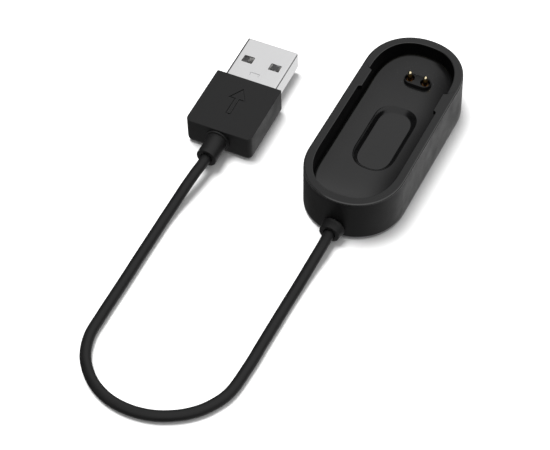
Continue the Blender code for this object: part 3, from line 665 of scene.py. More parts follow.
def surface(name, colour, roughness, metallic=0.0, specular=0.5, grain=0.09, bump=0.2,
            bump_height=0.005, variation=0.2, spread=0.06, wear_and_highlight=None, wear_and_highlight_amount=0.5,
            stretch=(1.0, 1.0, 1.0), coat=0.0):
    """A moulded, rubber or metal surface: grain, faint patches, and outward edges painted paler as
    rubbed wear and painted highlight.

    Grain is the size of the finest marks in millimetres and bump_height their depth. The pattern
    is stretched along an axis for drawn or brushed metal.
    """
    material = bpy.data.materials.new(name)
    material.use_nodes = True
    tree = material.node_tree
    vector = new_node(tree, "ShaderNodeMapping",
                      {"Vector": new_node(tree, "ShaderNodeTexCoord", {}, "Object"),
                       "Scale": [value / MM for value in stretch]})
    fine = noise(tree, vector, 1.0 / grain, 3.0)
    patches = noise(tree, vector, 0.22, 2.0)
    darker = tuple(channel * (1.0 - variation) for channel in colour)
    lighter = tuple(channel * (1.0 + variation) for channel in colour)
    speckle = tuple(min(channel * (1.0 + 2.0 * variation), 1.0) for channel in colour)
    tint = blend_colours(tree, remap(tree, patches, 0.3, 0.7, 0.0, 1.0), darker, lighter)
    tint = blend_colours(tree, remap(tree, fine, 0.5, 0.8, 0.0, 1.0), tint, speckle)
    # Outward edges painted paler: rubbed wear together with a painted highlight along every edge.
    if wear_and_highlight:
        tint = blend_colours(tree, edge_wear_and_highlight(tree, wear_and_highlight_amount), tint, wear_and_highlight)
    rough = arithmetic(tree, "ADD", remap(tree, fine, 0.3, 0.7, -spread, spread),
                       remap(tree, patches, 0.3, 0.7, roughness - spread, roughness + spread))
    relief = new_node(tree, "ShaderNodeBump",
                      {"Height": fine, "Strength": bump, "Distance": bump_height * MM})
    feed(tree, tree.nodes["Principled BSDF"],
         {"Base Color": tint, "Roughness": rough, "Metallic": metallic, "Normal": relief,
          "Specular IOR Level": specular, "Coat Weight": coat, "Coat Roughness": 0.25})
    return material


def shell_plastic(name):
    """Satin black moulded plastic, its edges painted paler as handling wear and painted highlight.
    """
    return surface(name, (0.0032, 0.0032, 0.0033), 0.34, specular=0.4,
                   wear_and_highlight=(0.04, 0.04, 0.041), wear_and_highlight_amount=0.8)


def polished_edge_highlight():
    """The same plastic on the rim's rounded edges, polished glossy by hands and sleeves, and
    painted four times paler as a painted highlight.
    """
    return surface("polished_edge_highlight", (0.012, 0.012, 0.0122), 0.14, specular=0.8, bump=0.06,
                   bump_height=0.003, spread=0.03, wear_and_highlight=(0.03, 0.03, 0.031), wear_and_highlight_amount=0.6)


def pocket_wall_painted_shade():
    """The same plastic on the pocket's upright walls, left dull and painted darker as painted
    shade.
    """
    return surface("pocket_wall_painted_shade", (0.0012, 0.0012, 0.0013), 0.5, specular=0.14,
                   wear_and_highlight=(0.008, 0.008, 0.0085), wear_and_highlight_amount=0.6)


def wall_plastic():
    """The same plastic on the outer wall, where the mould was left a little rougher."""
    return surface("wall_plastic", (0.0035, 0.0035, 0.0036), 0.46, specular=0.25, bump=0.25,
                   bump_height=0.006, wear_and_highlight=(0.03, 0.03, 0.031), wear_and_highlight_amount=0.8)


def cover_plastic():
    """The base plate's plastic, painted far paler than the shell as a painted reflection of the
    white table on its rim band.
    """
    return surface("cover_plastic", (0.16, 0.16, 0.162), 0.4, specular=0.4,
                   wear_and_highlight=(0.25, 0.25, 0.252), wear_and_highlight_amount=0.6)


def pocket_plastic():
    """The same plastic where the mould was polished, inside the pocket."""
    return surface("pocket_plastic", (0.0026, 0.0026, 0.0027), 0.2, specular=0.45, bump=0.08,
                   bump_height=0.003, spread=0.03, wear_and_highlight=(0.012, 0.012, 0.0125), wear_and_highlight_amount=0.6)


def soft_rubber(name, wear_and_highlight_level=0.025):
    """Matte black rubber of the grip, boots and lead, painted paler along its edges as rubbed wear
    and painted highlight.
    """
    return surface(name, (0.005, 0.005, 0.0051), 0.52, specular=0.34, grain=0.12, bump=0.25,
                   bump_height=0.007, wear_and_highlight=(wear_and_highlight_level, wear_and_highlight_level, wear_and_highlight_level), wear_and_highlight_amount=0.9)


def insulator(name, colour=(0.03, 0.03, 0.032)):
    return surface(name, colour, 0.45, grain=0.1, wear_and_highlight=tuple(1.4 * channel for channel in colour))


def plated_steel():
    """Bright plated sheet, with faint draw marks along the plug."""
    return surface("shell_steel", (0.77, 0.77, 0.775), 0.24, metallic=1.0, grain=0.12, bump=0.03,
                   bump_height=0.002, variation=0.008, spread=0.02, wear_and_highlight=(0.9, 0.9, 0.9),
                   stretch=(3.0, 0.35, 3.0))


# Gold painted much darker than real plating: painted shade for stems that mirror the dark pocket.
def gold_plate(name):
    return surface(name, (0.5, 0.3, 0.09), 0.24, metallic=1.0, grain=0.12, bump=0.1,
                   bump_height=0.002, variation=0.08, spread=0.04, wear_and_highlight=(0.95, 0.74, 0.36))


def polished_tip_highlight(name):
    """Gold rubbed pale where it meets the tracker, and painted paler still as a painted highlight
    on the tip.
    """
    return surface(name, (0.98, 0.85, 0.55), 0.16, metallic=1.0, grain=0.12, bump=0.05,
                   bump_height=0.002, variation=0.04, spread=0.03, wear_and_highlight=(1.0, 0.93, 0.75))


def barrel_gold_painted_shade(name):
    """Thin plating on the pin barrels, painted near black as painted shade in the bores, with paler
    edge lines as painted glints.
    """
    return surface(name, (0.04, 0.02, 0.012), 0.3, metallic=1.0, grain=0.1, bump=0.1,
                   bump_height=0.002, variation=0.15, wear_and_highlight=(0.35, 0.22, 0.12))


def tin_plate(name):
    """Pale plating of the plug's contacts."""
    return surface(name, (0.75, 0.74, 0.72), 0.28, metallic=1.0, grain=0.1, bump=0.08,
                   bump_height=0.002, variation=0.05, spread=0.04, wear_and_highlight=(0.75, 0.73, 0.7))


def spring_steel(name):
    return surface(name, (0.6, 0.61, 0.62), 0.3, metallic=1.0, grain=0.05, bump=0.1,
                   bump_height=0.002, variation=0.06, wear_and_highlight=(0.75, 0.75, 0.76))


def solder_mask():
    """Green mask over laminate, slightly glossy, paler along its edges."""
    return surface("board_mask", (0.01, 0.075, 0.035), 0.35, grain=0.2, bump_height=0.01,
                   variation=0.35, coat=0.3, wear_and_highlight=(0.2, 0.18, 0.1))


def chip_ceramic(name):
    return surface(name, (0.3, 0.2, 0.12), 0.5, grain=0.06, bump=0.3, bump_height=0.006,
                   wear_and_highlight=(0.7, 0.7, 0.72), wear_and_highlight_amount=0.9)


def wire_sleeve(name, colour):
    return surface(name, colour, 0.45, grain=0.1, bump_height=0.006)


# Cradle

def floor_height(x, y):
    """The pocket floor is a shallow dish, flat along its middle and raised at both ends."""
    along = max(abs(y) - FLOOR_FLAT, 0.0) / (POCKET_LENGTH / 2 - FLOOR_FLAT)
    across = x / (POCKET_WIDTH / 2)
    return FLOOR_HEIGHT + FLOOR_RISE * along ** 3 + FLOOR_DISH * across ** 2


def floor_ring(outline, lift=0.0):
    return [Vector((x, y, floor_height(x, y) + lift)) for x, y in outline]


def cradle_ring(inset, z):
    return flat_ring(cradle_outline(inset), z)


def wall_inset(z):
    """How far the drafted wall has come in at a height."""
    return WALL_DRAFT * (z - SHELL_LIFT) / (CRADLE_TOP - SHELL_LIFT)


def tab_ring(outline, z):
    """A ring of the pocket's wall, pushed in where the grip tabs stand."""
    share = smoothstep((z - (CRADLE_TOP - TAB_DEPTH)) / TAB_SLOPE)
    side = POCKET_WIDTH / 2 - 1.2 * POCKET_LIP
    ring = []
    for x, y in outline:
        reach = TAB_REACH * share * tab_weight(y) if abs(x) > side else 0.0
        ring.append(Vector((x - math.copysign(reach, x), y, z)))
    return ring


def hollow_rings():
    """Underside of the shell: the island under the recess, the cavity and the cover's seat."""
    island = recess_outline(-ISLAND_WALL)
    island_bottom = FLOOR_HEIGHT - RECESS_DEPTH - ISLAND_WALL
    return [flat_ring(island, island_bottom), flat_ring(island, CAVITY_TOP),
            cradle_ring(CAVITY_INSET, CAVITY_TOP), cradle_ring(CAVITY_INSET, SEAT_TOP),
            cradle_ring(SEAT_INSET, SEAT_TOP), cradle_ring(SEAT_INSET, SHELL_LIFT)]


def wall_rings():
    """Outer wall from its rounded lower edge to the rounded rim."""
    rings = rounded_foot(cradle_outline, SHELL_LIFT, LOWER_FILLET, 4)
    for share in (0.12, 0.3, 0.5, 0.7, 0.88):
        z = SHELL_LIFT + share * (CRADLE_TOP - SHELL_LIFT)
        rings.append(cradle_ring(wall_inset(z), z))
    return rings + rounded_top(cradle_outline, CRADLE_TOP, RIM_FILLET, 5, WALL_DRAFT)


def pocket_rings():
    """Pocket's mouth, walls with both grip tabs, curved floor and sensor recess."""
    rings = []
    for out, lift in reversed(quarter(4)):
        z = CRADLE_TOP - POCKET_LIP * lift
        rings.append(tab_ring(pocket_outline(-POCKET_LIP * out), z))
    tab_bottom = CRADLE_TOP - TAB_DEPTH
    for z in (CRADLE_TOP - 0.6 * MM, tab_bottom + TAB_SLOPE, tab_bottom + 0.7 * TAB_SLOPE,
              tab_bottom + 0.3 * TAB_SLOPE, tab_bottom):
        rings.append(tab_ring(pocket_outline(), z))
    for out, lift in quarter(7):
        rings.append(floor_ring(pocket_outline(FLOOR_FILLET * out), FLOOR_FILLET * lift))
    rings.append(floor_ring(pocket_outline(1.3 * MM)))
    inner = pocket_outline(2.0 * MM)
    edge = recess_outline(-RECESS_EDGE)
    for share in (step / 8.0 for step in range(9)):
        rings.append(floor_ring([(x + share * (edge_x - x), y + share * (edge_y - y))
                                 for (x, y), (edge_x, edge_y) in zip(inner, edge)]))
    bottom = FLOOR_HEIGHT - RECESS_DEPTH
    for inset, drop in ((-0.2 * RECESS_EDGE, 0.1), (0.12 * RECESS_SLOPE, 0.16),
                        (0.5 * RECESS_SLOPE, 0.5), (0.84 * RECESS_SLOPE, 0.88),
                        (0.96 * RECESS_SLOPE, 0.97), (1.12 * RECESS_SLOPE, 1.0)):
        rings.append([Vector((x, y, (1.0 - drop) * floor_height(x, y) + drop * bottom))
                      for x, y in recess_outline(inset)])
    rings.append(flat_ring(recess_outline(1.6 * RECESS_SLOPE), bottom))
    return rings


def in_pocket(place):
    """Whether a place on the shell is on the pocket's walls or floor."""
    straight = POCKET_LENGTH / 2 - POCKET_END_DEPTH
    across = abs(place.x) / (POCKET_WIDTH / 2 + 0.5 * POCKET_LIP)
    along = max(abs(place.y) - straight, 0.0) / (POCKET_END_DEPTH + 0.5 * POCKET_LIP)
    inside = across ** POCKET_SQUARENESS + along ** POCKET_SQUARENESS <= 1.0
    lowest = FLOOR_HEIGHT - RECESS_DEPTH - 0.05 * MM
    return inside and lowest < place.z < CRADLE_TOP - 0.5 * POCKET_LIP


def build_cradle_shell():
    mesh = loft(hollow_rings() + wall_rings() + pocket_rings(), "strips")
    block_low, block_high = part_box("pin_block")
    hole = loft([flat_ring(block_outline(-BLOCK_CLEARANCE), z)
                 for z in (block_low.z, block_high.z + MM)])
    lead = rod(BOOT_NECK + HOLE_CLEARANCE, -2.0 * MM, 4.0 * MM, SHELL_LOW.y,
               LEAD_EXIT_Z)
    half = ANCHOR_WIDTH / 2 + HOLE_CLEARANCE
    deep = ANCHOR_THICKNESS / 2 + HOLE_CLEARANCE
    anchor = block((-half, ANCHOR_Y - deep, SHELL_LIFT),
                   (half, ANCHOR_Y + deep, LEAD_EXIT_Z + ANCHOR_HEIGHT / 2 + HOLE_CLEARANCE))
    bay = block((-BAY_WIDTH / 2, BAY_START, SEAT_TOP),
                (BAY_WIDTH / 2, BAY_END, BAY_TOP))
    mesh = combined(mesh, [hole, lead, anchor, bay])
    piece = add_piece("cradle_shell", mesh, shell_plastic("shell_plastic"))
    for material in (pocket_plastic(), wall_plastic(), pocket_wall_painted_shade(), polished_edge_highlight()):
        mesh.materials.append(material)
    # Rim fillets take the plastic painted paler as painted highlight; upright pocket walls take the
    # plastic painted darker as painted shade.
    for face in mesh.polygons:
        if face.center.z > CRADLE_TOP - RIM_FILLET and 0.1 < face.normal.z < 0.97:
            face.material_index = 4
        elif in_pocket(face.center):
            upright = face.normal.z < 0.35 and face.center.z > FLOOR_HEIGHT
            face.material_index = 3 if upright else 1
        elif face.center.z < CRADLE_TOP - RIM_FILLET:
            face.material_index = 2
    keep_flat(mesh)
    return piece


def build_base_cover():
    """Plate under the cradle; its rounded rim shows as a thin band below the shell."""
    edge = 0.05 * MM
    rim_top = SHELL_LIFT - SEAM
    rings = rounded_foot(cradle_outline, 0.0, COVER_EDGE, 6)
    rings.extend(rounded_top(cradle_outline, rim_top, COVER_TOP_FILLET, 4))
    rings.extend([cradle_ring(COVER_INSET, rim_top), cradle_ring(COVER_INSET, COVER_TOP - edge),
                  cradle_ring(COVER_INSET + edge, COVER_TOP)])
    mesh = loft(rings, "strips")
    return add_piece("base_cover", mesh, cover_plastic())


# Contact pins

def block_outline(inset=0.0):
    """The pin block from above: a bar across the cradle with round ends."""
    outline = stadium_outline(BLOCK_LENGTH / 2 - inset, BLOCK_WIDTH / 2 - inset)
    return [(x, y + PIN_Y) for x, y in outline]


def pin_centre(side):
    return Matrix.Translation((side * PIN_PITCH / 2, PIN_Y, 0.0))


def build_pin_block():
    low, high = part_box("pin_block")
    edge = 0.1 * MM
    flange_top = low.z + BLOCK_FLANGE_THICKNESS
    sections = [(BLOCK_FLANGE - edge, low.z), (BLOCK_FLANGE, low.z + edge),
                (BLOCK_FLANGE, flange_top - edge), (BLOCK_FLANGE - edge, flange_top),
                (0.0, flange_top)]
    rings = [flat_ring(block_outline(-grow), z) for grow, z in sections]
    rings.extend(rounded_top(block_outline, high.z, BLOCK_EDGE, 5))
    wide = BLOCK_BORE + BLOCK_CHAMFER
    profile = [(0.0, low.z - MM), (BLOCK_BORE, low.z - MM), (BLOCK_BORE, high.z - BLOCK_CHAMFER),
               (wide, high.z), (wide, high.z + MM), (0.0, high.z + MM)]
    bores = [moved(turned(profile), pin_centre(side)) for side in (-1.0, 1.0)]
    mesh = combined(loft(rings), bores)
    return add_piece("pin_block", mesh, shell_plastic("pin_block_plastic"))


def build_barrel(side, label):
    """A cup with a narrower mouth."""
    barrel_low, barrel_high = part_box("pin_barrel_" + label)
    low = barrel_low.z
    top = barrel_high.z
    profile = rounded_profile([
        (0.0, low, 0.0), (BARREL_RADIUS, low, 0.06 * MM), (BARREL_RADIUS, top, 0.1 * MM),
        (BARREL_MOUTH, top, 0.07 * MM), (BARREL_MOUTH, top - BARREL_LIP, 0.03 * MM),
        (BARREL_BORE, top - BARREL_LIP, 0.03 * MM), (BARREL_BORE, low + BARREL_FLOOR, 0.1 * MM),
        (0.0, low + BARREL_FLOOR, 0.0)])
    mesh = moved(turned(profile), pin_centre(side))
    return add_piece("pin_barrel_" + label, mesh, barrel_gold_painted_shade("barrel_gold_" + label))


def build_plunger(side, label):
    """A round-nosed stem with a polished tip painted pale as a painted highlight, and the flange
    that keeps it in its barrel.
    """
    plunger_low, plunger_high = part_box("pin_plunger_" + label)
    foot = plunger_low.z
    neck = foot + PLUNGER_FLANGE_THICKNESS
    shoulder = plunger_high.z - PLUNGER_RADIUS
    profile = rounded_profile([
        (0.0, foot, 0.0), (PLUNGER_FLANGE, foot, 0.04 * MM), (PLUNGER_FLANGE, neck, 0.04 * MM),
        (PLUNGER_RADIUS, neck, 0.03 * MM)], 4)
    steps = 12
    for step in range(steps + 1):
        angle = 0.5 * math.pi * step / steps
        reach = math.cos(angle) ** 0.9 if step < steps else 0.0
        profile.append((PLUNGER_RADIUS * reach, shoulder + PLUNGER_RADIUS * math.sin(angle)))
    mesh = moved(turned(profile), pin_centre(side))
    plunger = add_piece("pin_plunger_" + label, mesh, gold_plate("plunger_gold_" + label),
                        "pin_" + label)
    mesh.materials.append(polished_tip_highlight("plunger_tip_" + label))
    # Faces above the shoulder take the tip gold, painted pale as a painted highlight.
    for face in mesh.polygons:
        if face.center.z > shoulder:
            face.material_index = 1
    return plunger


def build_spring(side, label):
    """A helix with its turns closer together at both ends."""
    low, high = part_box("pin_spring_" + label)
    start = low.z + SPRING_WIRE
    reach = high.z - SPRING_WIRE - start
    per_turn = 24
    count = round(SPRING_TURNS * per_turn)
    points = []
    for index in range(count + 1):
        angle = 2.0 * math.pi * index / per_turn
        along = smoothstep(index / count) * 0.3 + 0.7 * index / count
        points.append(Vector((SPRING_RADIUS * math.cos(angle), SPRING_RADIUS * math.sin(angle),
                              start + reach * along)))
    mesh = moved(tube(points, SPRING_WIRE, 8), pin_centre(side))
    spring = add_piece("pin_spring_" + label, mesh, spring_steel("spring_steel_" + label))
    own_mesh(spring)


# Lead

def build_strain_relief():
    """Short tapered boot outside the cradle, neck through its wall and anchor inside."""
    tip = -BOOT_TIP_Y
    base = -SHELL_LOW.y + SEAM
    inner = -(ANCHOR_Y + ANCHOR_THICKNESS / 2)
    wall = -SHELL_LOW.y - SEAM
    floor = tip - CABLE_TUCK
    profile = rounded_profile([
        (0.0, wall, 0.0), (WIRE_BORE, wall, 0.0), (WIRE_BORE, inner, 0.0),
        (BOOT_NECK, inner, 0.0), (BOOT_NECK, base, 0.0),
        (BOOT_BASE_RADIUS, base, 0.05 * MM), (BOOT_BASE_RADIUS, base + 0.28 * MM, 0.12 * MM),
        (BOOT_BASE_RADIUS - 0.12 * MM, base + 0.4 * MM, 0.12 * MM),
        (BOOT_TIP_RADIUS, tip, 0.16 * MM), (CABLE_MOUTH, tip, 0.1 * MM),
        (CABLE_MOUTH, floor, 0.1 * MM), (0.0, floor, 0.0)])
    boot = turned_back(profile, 0.0, LEAD_EXIT_Z)
    half_y = ANCHOR_THICKNESS / 2
    anchor = block((-ANCHOR_WIDTH / 2, ANCHOR_Y - half_y, LEAD_EXIT_Z - ANCHOR_HEIGHT / 2),
                   (ANCHOR_WIDTH / 2, ANCHOR_Y + half_y, LEAD_EXIT_Z + ANCHOR_HEIGHT / 2),
                   0.12 * MM)
    bore = rod(WIRE_BORE, inner - MM, wall, 0.0, LEAD_EXIT_Z)
    mesh = combined(combined(boot, [anchor], "UNION"), [bore])
    return add_piece("cradle_strain_relief", mesh, soft_rubber("boot_rubber", 0.12))


def lead_route():
    """The lead's middle line, tucked a little way into the boot and the plug's sleeve."""
    route = [Vector(point) * MM for point in CABLE_ROUTE]
    start = (route[0] - route[1]).normalized()
    tuck = CABLE_TUCK - 0.05 * MM
    route[0] = Vector((0.0, BOOT_TIP_Y + tuck, LEAD_EXIT_Z))
    route.insert(1, route[0] - 1.6 * MM * start)
    sleeve_floor = -GRIP_LENGTH - SEAM - SLEEVE_LENGTH + tuck
    route[-1] = PLUG_FRAME @ Vector((0.0, sleeve_floor, PLUG_AXIS_Z))
    route.insert(-1, PLUG_FRAME @ Vector((-0.02 * MM, sleeve_floor - 1.8 * MM, PLUG_AXIS_Z)))
    return smooth_route(route, 0.9 * MM)


def build_lead():
    points = lead_route()
    curve = bpy.data.curves.new("lead_curve", "CURVE")
    curve.dimensions = "3D"
    curve.bevel_depth = CABLE_RADIUS
    curve.bevel_resolution = 8
    curve.use_fill_caps = True
    spline = curve.splines.new("POLY")
    spline.points.add(len(points) - 1)
    for target, point in zip(spline.points, points):
        target.co = (*point, 1.0)
    spline.use_smooth = True
    curve.materials.append(soft_rubber("lead_rubber"))
    lead = as_object("cable_jacket_look", curve)
    stand_in(lead, "cable_jacket")
    return lead, points


# Plug

def grip_outline(inset=0.0):
    """A rectangle with round corners at the lead's end and tight ones at the shell's."""
    back, front = (max(corner - 0.5 * inset, 0.1 * MM)
                   for corner in (GRIP_BACK_CORNER, GRIP_FRONT_CORNER))
    return rounded_rectangle(GRIP_WIDTH / 2 - inset, inset - GRIP_LENGTH, -inset, back, front, 9)


def arrow_outline(inset):
    """A plain block arrow, pointing to the tip."""
    shaft = ARROW_SHAFT / 2 - inset
    wing = ARROW_WIDTH / 2 - 2.0 * inset
    tail = ARROW_TAIL + inset
    neck = ARROW_NECK + inset
    point = ARROW_POINT - 1.9 * inset
    return [(-shaft, tail), (shaft, tail), (shaft, neck), (wing, neck), (0.0, point),
            (-wing, neck), (-shaft, neck)]


def arrow_tools():
    """The groove round the arrow, cut as a deep outline with the middle left standing."""
    low = GRIP_HEIGHT - ARROW_DEPTH
    high = GRIP_HEIGHT + MM
    groove = loft([flat_ring(arrow_outline(0.0), z) for z in (low, high)])
    middle = loft([flat_ring(arrow_outline(ARROW_LINE), z) for z in (low - MM, high + MM)])
    return combined(groove, [middle])


def build_grip():
    """Soft block round the shell, its lower edge well rounded, with an arrow cut in its top."""
    rings = rounded_foot(grip_outline, 0.0, GRIP_FOOT, 7)
    rings.append(flat_ring(grip_outline(), 0.6 * GRIP_HEIGHT))
    rings.extend(rounded_top(grip_outline, GRIP_HEIGHT, GRIP_EDGE, 3))
    mesh = loft(rings)
    half = USB_WIDTH / 2 + SEAM
    tall = USB_HEIGHT / 2 + SEAM
    slot = block((-half, -USB_BURIED - SEAM, PLUG_AXIS_Z - tall),
                 (half, MM, PLUG_AXIS_Z + tall))
    half = MOULD_WIDTH / 2 + HOLE_CLEARANCE
    tall = MOULD_HEIGHT / 2 + HOLE_CLEARANCE
    room = block((-half, MOULD_BACK - HOLE_CLEARANCE, PLUG_AXIS_Z - tall),
                 (half, -USB_BURIED + SEAM, PLUG_AXIS_Z + tall))
    bore = rod(BOOT_NECK + HOLE_CLEARANCE, 0.0, 8.0 * MM, MOULD_BACK + MM,
               PLUG_AXIS_Z)
    mesh = combined(mesh, [slot, room, bore, arrow_tools()])
    return add_piece("plug_overmould", moved(mesh, PLUG_FRAME), soft_rubber("grip_rubber"))


def build_sleeve():
    """Straight sleeve round the lead, with a thin collar against the grip."""
    base = GRIP_LENGTH + SEAM
    tip = base + SLEEVE_LENGTH
    collar = base + SLEEVE_COLLAR_THICKNESS
    neck_end = -MOULD_BACK + 2 * HOLE_CLEARANCE
    floor = tip - CABLE_TUCK
    profile = rounded_profile([
        (0.0, GRIP_LENGTH, 0.0), (WIRE_BORE, GRIP_LENGTH, 0.0), (WIRE_BORE, neck_end, 0.0),
        (BOOT_NECK, neck_end, 0.05 * MM), (BOOT_NECK, base, 0.0),
        (SLEEVE_COLLAR, base, 0.06 * MM), (SLEEVE_COLLAR, collar, 0.12 * MM),
        (SLEEVE_RADIUS, collar, 0.1 * MM), (SLEEVE_RADIUS, tip, 0.2 * MM),
        (CABLE_MOUTH, tip, 0.1 * MM), (CABLE_MOUTH, floor, 0.1 * MM), (0.0, floor, 0.0)])
    mesh = moved(turned_back(profile, 0.0, PLUG_AXIS_Z), PLUG_FRAME)
    return add_piece("plug_strain_relief", mesh, soft_rubber("sleeve_rubber", 0.1))


def shell_section(inset, y):
    corner = max(USB_CORNER - inset, 0.08 * MM)
    half = USB_HEIGHT / 2 - inset
    outline = rounded_rectangle(USB_WIDTH / 2 - inset, PLUG_AXIS_Z - half, PLUG_AXIS_Z + half,
                                corner, corner)
    return [Vector((x, y, z)) for x, z in outline]


def window_tool(x):
    """A cutter with rounded corners for the latch windows on both faces."""
    outline = rounded_rectangle(WINDOW_WIDTH / 2, WINDOW_Y - WINDOW_LENGTH / 2,
                                WINDOW_Y + WINDOW_LENGTH / 2, WINDOW_CORNER, WINDOW_CORNER, 4)
    return loft([flat_ring([(x + across, y) for across, y in outline], z)
                 for z in (0.0, GRIP_HEIGHT + MM)])


def build_usb_shell():
    """Folded steel sleeve with latch windows, a pressed tab and a seam underneath."""
    tip = USB_EXPOSED
    rings = [shell_section(inset, y) for inset, y in (
        (0.03 * MM, -USB_BURIED), (0.0, -USB_BURIED + 0.03 * MM), (0.0, 0.5 * tip),
        (0.0, tip - 0.35 * MM), (0.015 * MM, tip - 0.1 * MM), (0.05 * MM, tip),
        (USB_WALL - 0.03 * MM, tip), (USB_WALL, tip - 0.06 * MM), (USB_WALL, 0.5 * tip),
        (USB_WALL, -USB_BURIED))]
    mesh = loft(rings, "loop")
    tools = [window_tool(side * WINDOW_X) for side in (-1.0, 1.0)]
    top = PLUG_AXIS_Z + USB_HEIGHT / 2
    half = PRESSED_TAB_WIDTH / 2
    end = PRESSED_TAB_END + GROOVE_HALF
    for x0, x1, y0 in ((-half, half, PRESSED_TAB_END - GROOVE_HALF),
                       (-half - GROOVE_HALF, -half + GROOVE_HALF, PRESSED_TAB_START),
                       (half - GROOVE_HALF, half + GROOVE_HALF, PRESSED_TAB_START)):
        tools.append(block((x0, y0, top - 0.2 * MM), (x1, end, top + MM)))
    bottom = PLUG_AXIS_Z - USB_HEIGHT / 2
    tools.append(block((-GROOVE_HALF, -USB_BURIED - MM, bottom - MM),
                       (GROOVE_HALF, tip + MM, bottom + 0.14 * MM)))
    mesh = combined(mesh, tools)
    piece = add_piece("usb_shell", moved(mesh, PLUG_FRAME), plated_steel())
    bevel = piece.modifiers.new("edges", "BEVEL")
    bevel.width = 0.03 * MM
    bevel.segments = 2
    bevel.limit_method = "ANGLE"
    bevel.angle_limit = math.radians(50.0)
    keep_flat(piece.data, PLUG_FRAME.to_3x3().inverted())
    return piece


def build_tongue():
    """Insulator inside the shell: full height at the back, a tongue in the lower half."""
    half = TONGUE_WIDTH / 2
    low = TONGUE_TOP - TONGUE_THICKNESS
    high = PLUG_AXIS_Z + USB_HEIGHT / 2 - USB_WALL - 0.05 * MM
    start = -USB_BURIED + SEAM
    tongue = block((-half, start, low), (half, TONGUE_END, TONGUE_TOP),
                   0.15 * MM)
    back = block((-half, start, low), (half, TONGUE_BLOCK_END, high), 0.15 * MM)
    mesh = combined(tongue, [back], "UNION")
    slots = []
    for x, end in zip(CONTACT_XS, CONTACT_ENDS):
        wide = CONTACT_WIDTH / 2 + 0.05 * MM
        slots.append(block((x - wide, start - MM, TONGUE_TOP - 0.25 * MM),
                           (x + wide, end + 0.05 * MM, TONGUE_TOP + 0.05 * MM)))
    mesh = combined(mesh, slots)
    return add_piece("usb_tongue", moved(mesh, PLUG_FRAME),
                     insulator("tongue_plastic", (0.45, 0.45, 0.455)))


def build_contact(number, x, end):
    """A flat contact that bows up slightly where it wipes and dips into the tongue at its end."""
    rings = []
    count = 40
    for step in range(count + 1):
        y = CONTACT_TAIL + (end - CONTACT_TAIL) * step / count
        rise = CONTACT_BOW * smoothstep((y - (end - 5.0 * MM)) / (2.2 * MM))
        rise -= CONTACT_BOW * smoothstep((y - (end - 2.0 * MM)) / (1.8 * MM))
        top = TONGUE_TOP + rise
        outline = rounded_rectangle(CONTACT_WIDTH / 2, top - CONTACT_THICKNESS, top,
                                    CONTACT_CORNER, CONTACT_CORNER, 4)
        rings.append([Vector((x + across, y, z)) for across, z in outline])
    mesh = moved(loft(rings), PLUG_FRAME)
    node = "usb_contact_{}".format(number)
    return add_piece(node, mesh, tin_plate("contact_plating_{}".format(number)))


# CAD nodes that stay as they are

def dress_node(node, material, smooth=False):
    """Give a CAD node that stays in view its material, and round its sides if it is a wire."""
    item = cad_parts[node]
    if item.material_slots:
        for slot in item.material_slots:
            slot.material = material
    else:
        item.data.materials.append(material)
    if smooth:
        rounding = item.modifiers.new("rounding", "SUBSURF")
        rounding.levels = 1
        rounding.render_levels = 1


def dress_nodes():
    dress_node("circuit_board", solder_mask())
    dress_node("resettable_fuse", chip_ceramic("fuse_ceramic"))
    dress_node("filter_capacitor", chip_ceramic("capacitor_ceramic"))
    dress_node("plug_inner_mould", insulator("inner_mould_plastic"))
    for place in ("cradle", "plug"):
        red = wire_sleeve(place + "_red_sleeve", (0.4, 0.02, 0.015))
        black = wire_sleeve(place + "_black_sleeve", (0.015, 0.015, 0.016))
        dress_node(place + "_wire_positive", red, True)
        dress_node(place + "_wire_negative", black, True)


# Studio: a dome given by its radiance to each side, a white floor and one soft light

WHITE_LEVEL = 1.0
TOP_RADIANCE = 0.95
TOP_BAND = (0.12, 0.42)
LOW_BRIGHT = 0.62
LOW_DARK = 0.16
LOW_BAND = (-0.1, 0.5)
BRIGHT_SIDE = Vector((0.8, 0.6, 0.0)).normalized()
HORIZON_SHARE = 0.15
HORIZON_BAND = (-0.2, -0.5)
FLAG_SIDE = Vector((-1.0, 0.0, 0.0))
FLAG_SHARE = 0.08
FLAG_BAND = (0.38, 0.56)
CARD_SIDE = Vector((0.294, 0.555, -0.779)).normalized()
CARD_RADIANCE = 0.3
CARD_BAND = (0.9, 0.97)
UNDER_RADIANCE = 0.8
UNDER_BAND = (-0.85, -0.95)
FLOOR_WHITE = 0.72
LIGHT_SIDE = Vector((-0.28, 0.12, 1.0))
LIGHT_SPREAD = math.radians(31.0)
LIGHT_STRENGTH = 4.9


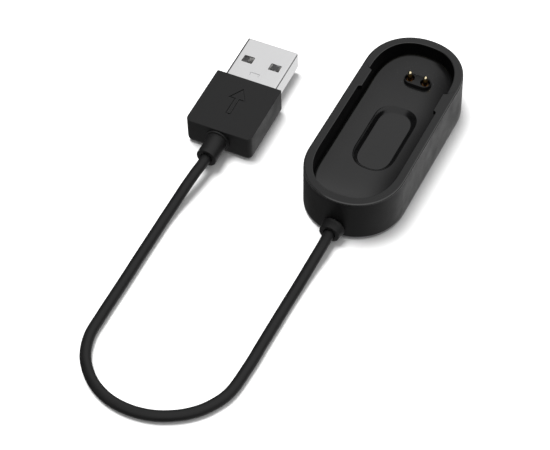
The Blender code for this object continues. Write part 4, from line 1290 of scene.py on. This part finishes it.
def studio_world():
    """A pale dome, dim at the horizon, and below it darker on the side away from the light.

    Each band is where one value gives way to the next, by height or by agreement with a side.
    """
    world = bpy.data.worlds.new("studio")
    world.use_nodes = True
    bpy.context.scene.world = world
    tree = world.node_tree
    direction = new_node(tree, "ShaderNodeTexCoord", {}, "Generated")
    height = new_node(tree, "ShaderNodeSeparateXYZ", {0: direction}, "Z")
    low = remap(tree, agreement(tree, direction, BRIGHT_SIDE), *LOW_BAND, LOW_DARK, LOW_BRIGHT)
    low = arithmetic(tree, "MULTIPLY", low, remap(tree, height, *HORIZON_BAND, HORIZON_SHARE, 1.0))
    card = remap(tree, agreement(tree, direction, CARD_SIDE), *CARD_BAND, 0.0, CARD_RADIANCE)
    below = blend_values(tree, remap(tree, height, *UNDER_BAND, 0.0, 1.0),
                         arithmetic(tree, "ADD", low, card), UNDER_RADIANCE)
    above = remap(tree, agreement(tree, direction, FLAG_SIDE), *FLAG_BAND, TOP_RADIANCE,
                  TOP_RADIANCE * FLAG_SHARE)
    radiance = blend_values(tree, remap(tree, height, *TOP_BAND, 0.0, 1.0), below, above)
    seen = new_node(tree, "ShaderNodeLightPath", {}, "Is Camera Ray")
    feed(tree, tree.nodes["Background"],
         {"Color": (1.0, 1.0, 1.0, 1.0),
          "Strength": blend_values(tree, seen, radiance, WHITE_LEVEL)})


def studio_floor():
    material = bpy.data.materials.new("floor_white")
    material.use_nodes = True
    feed(material.node_tree, material.node_tree.nodes["Principled BSDF"],
         {"Base Color": (FLOOR_WHITE, FLOOR_WHITE, FLOOR_WHITE, 1.0), "Roughness": 1.0,
          "Specular IOR Level": 0.0})
    mesh = bpy.data.meshes.new("studio_floor")
    half = 3.0
    mesh.from_pydata([(-half, -half, 0.0), (half, -half, 0.0), (half, half, 0.0),
                      (-half, half, 0.0)], [], [(0, 1, 2, 3)])
    mesh.materials.append(material)
    floor = as_object("studio_floor", mesh)
    floor.location.z = -0.02 * MM
    floor.visible_glossy = False


def overhead_light():
    """A broad soft light from high on the left; it casts the shadows but leaves no glint."""
    data = bpy.data.lights.new("overhead_light", "SUN")
    data.angle = LIGHT_SPREAD
    data.energy = LIGHT_STRENGTH
    light = as_object("overhead_light", data)
    light.rotation_euler = LIGHT_SIDE.to_track_quat("Z", "Y").to_euler()
    light.visible_glossy = False


def build_studio():
    studio_world()
    studio_floor()
    overhead_light()
    scene = bpy.context.scene
    scene.view_settings.view_transform = "Standard"
    scene.view_settings.look = "None"


def main():
    add_camera()
    build_cradle_shell()
    build_base_cover()
    build_pin_block()
    for side, label in ((-1.0, "left"), (1.0, "right")):
        build_barrel(side, label)
        build_plunger(side, label)
        build_spring(side, label)
    boot = build_strain_relief()
    lead, path = build_lead()
    plug = [build_grip(), build_sleeve(), build_usb_shell(), build_tongue()]
    for number, (x, end) in enumerate(zip(CONTACT_XS, CONTACT_ENDS), start=1):
        plug.append(build_contact(number, x, end))
    plug.extend(["plug_inner_mould", "plug_wire_positive", "plug_wire_negative"])
    dress_nodes()
    build_studio()


main()
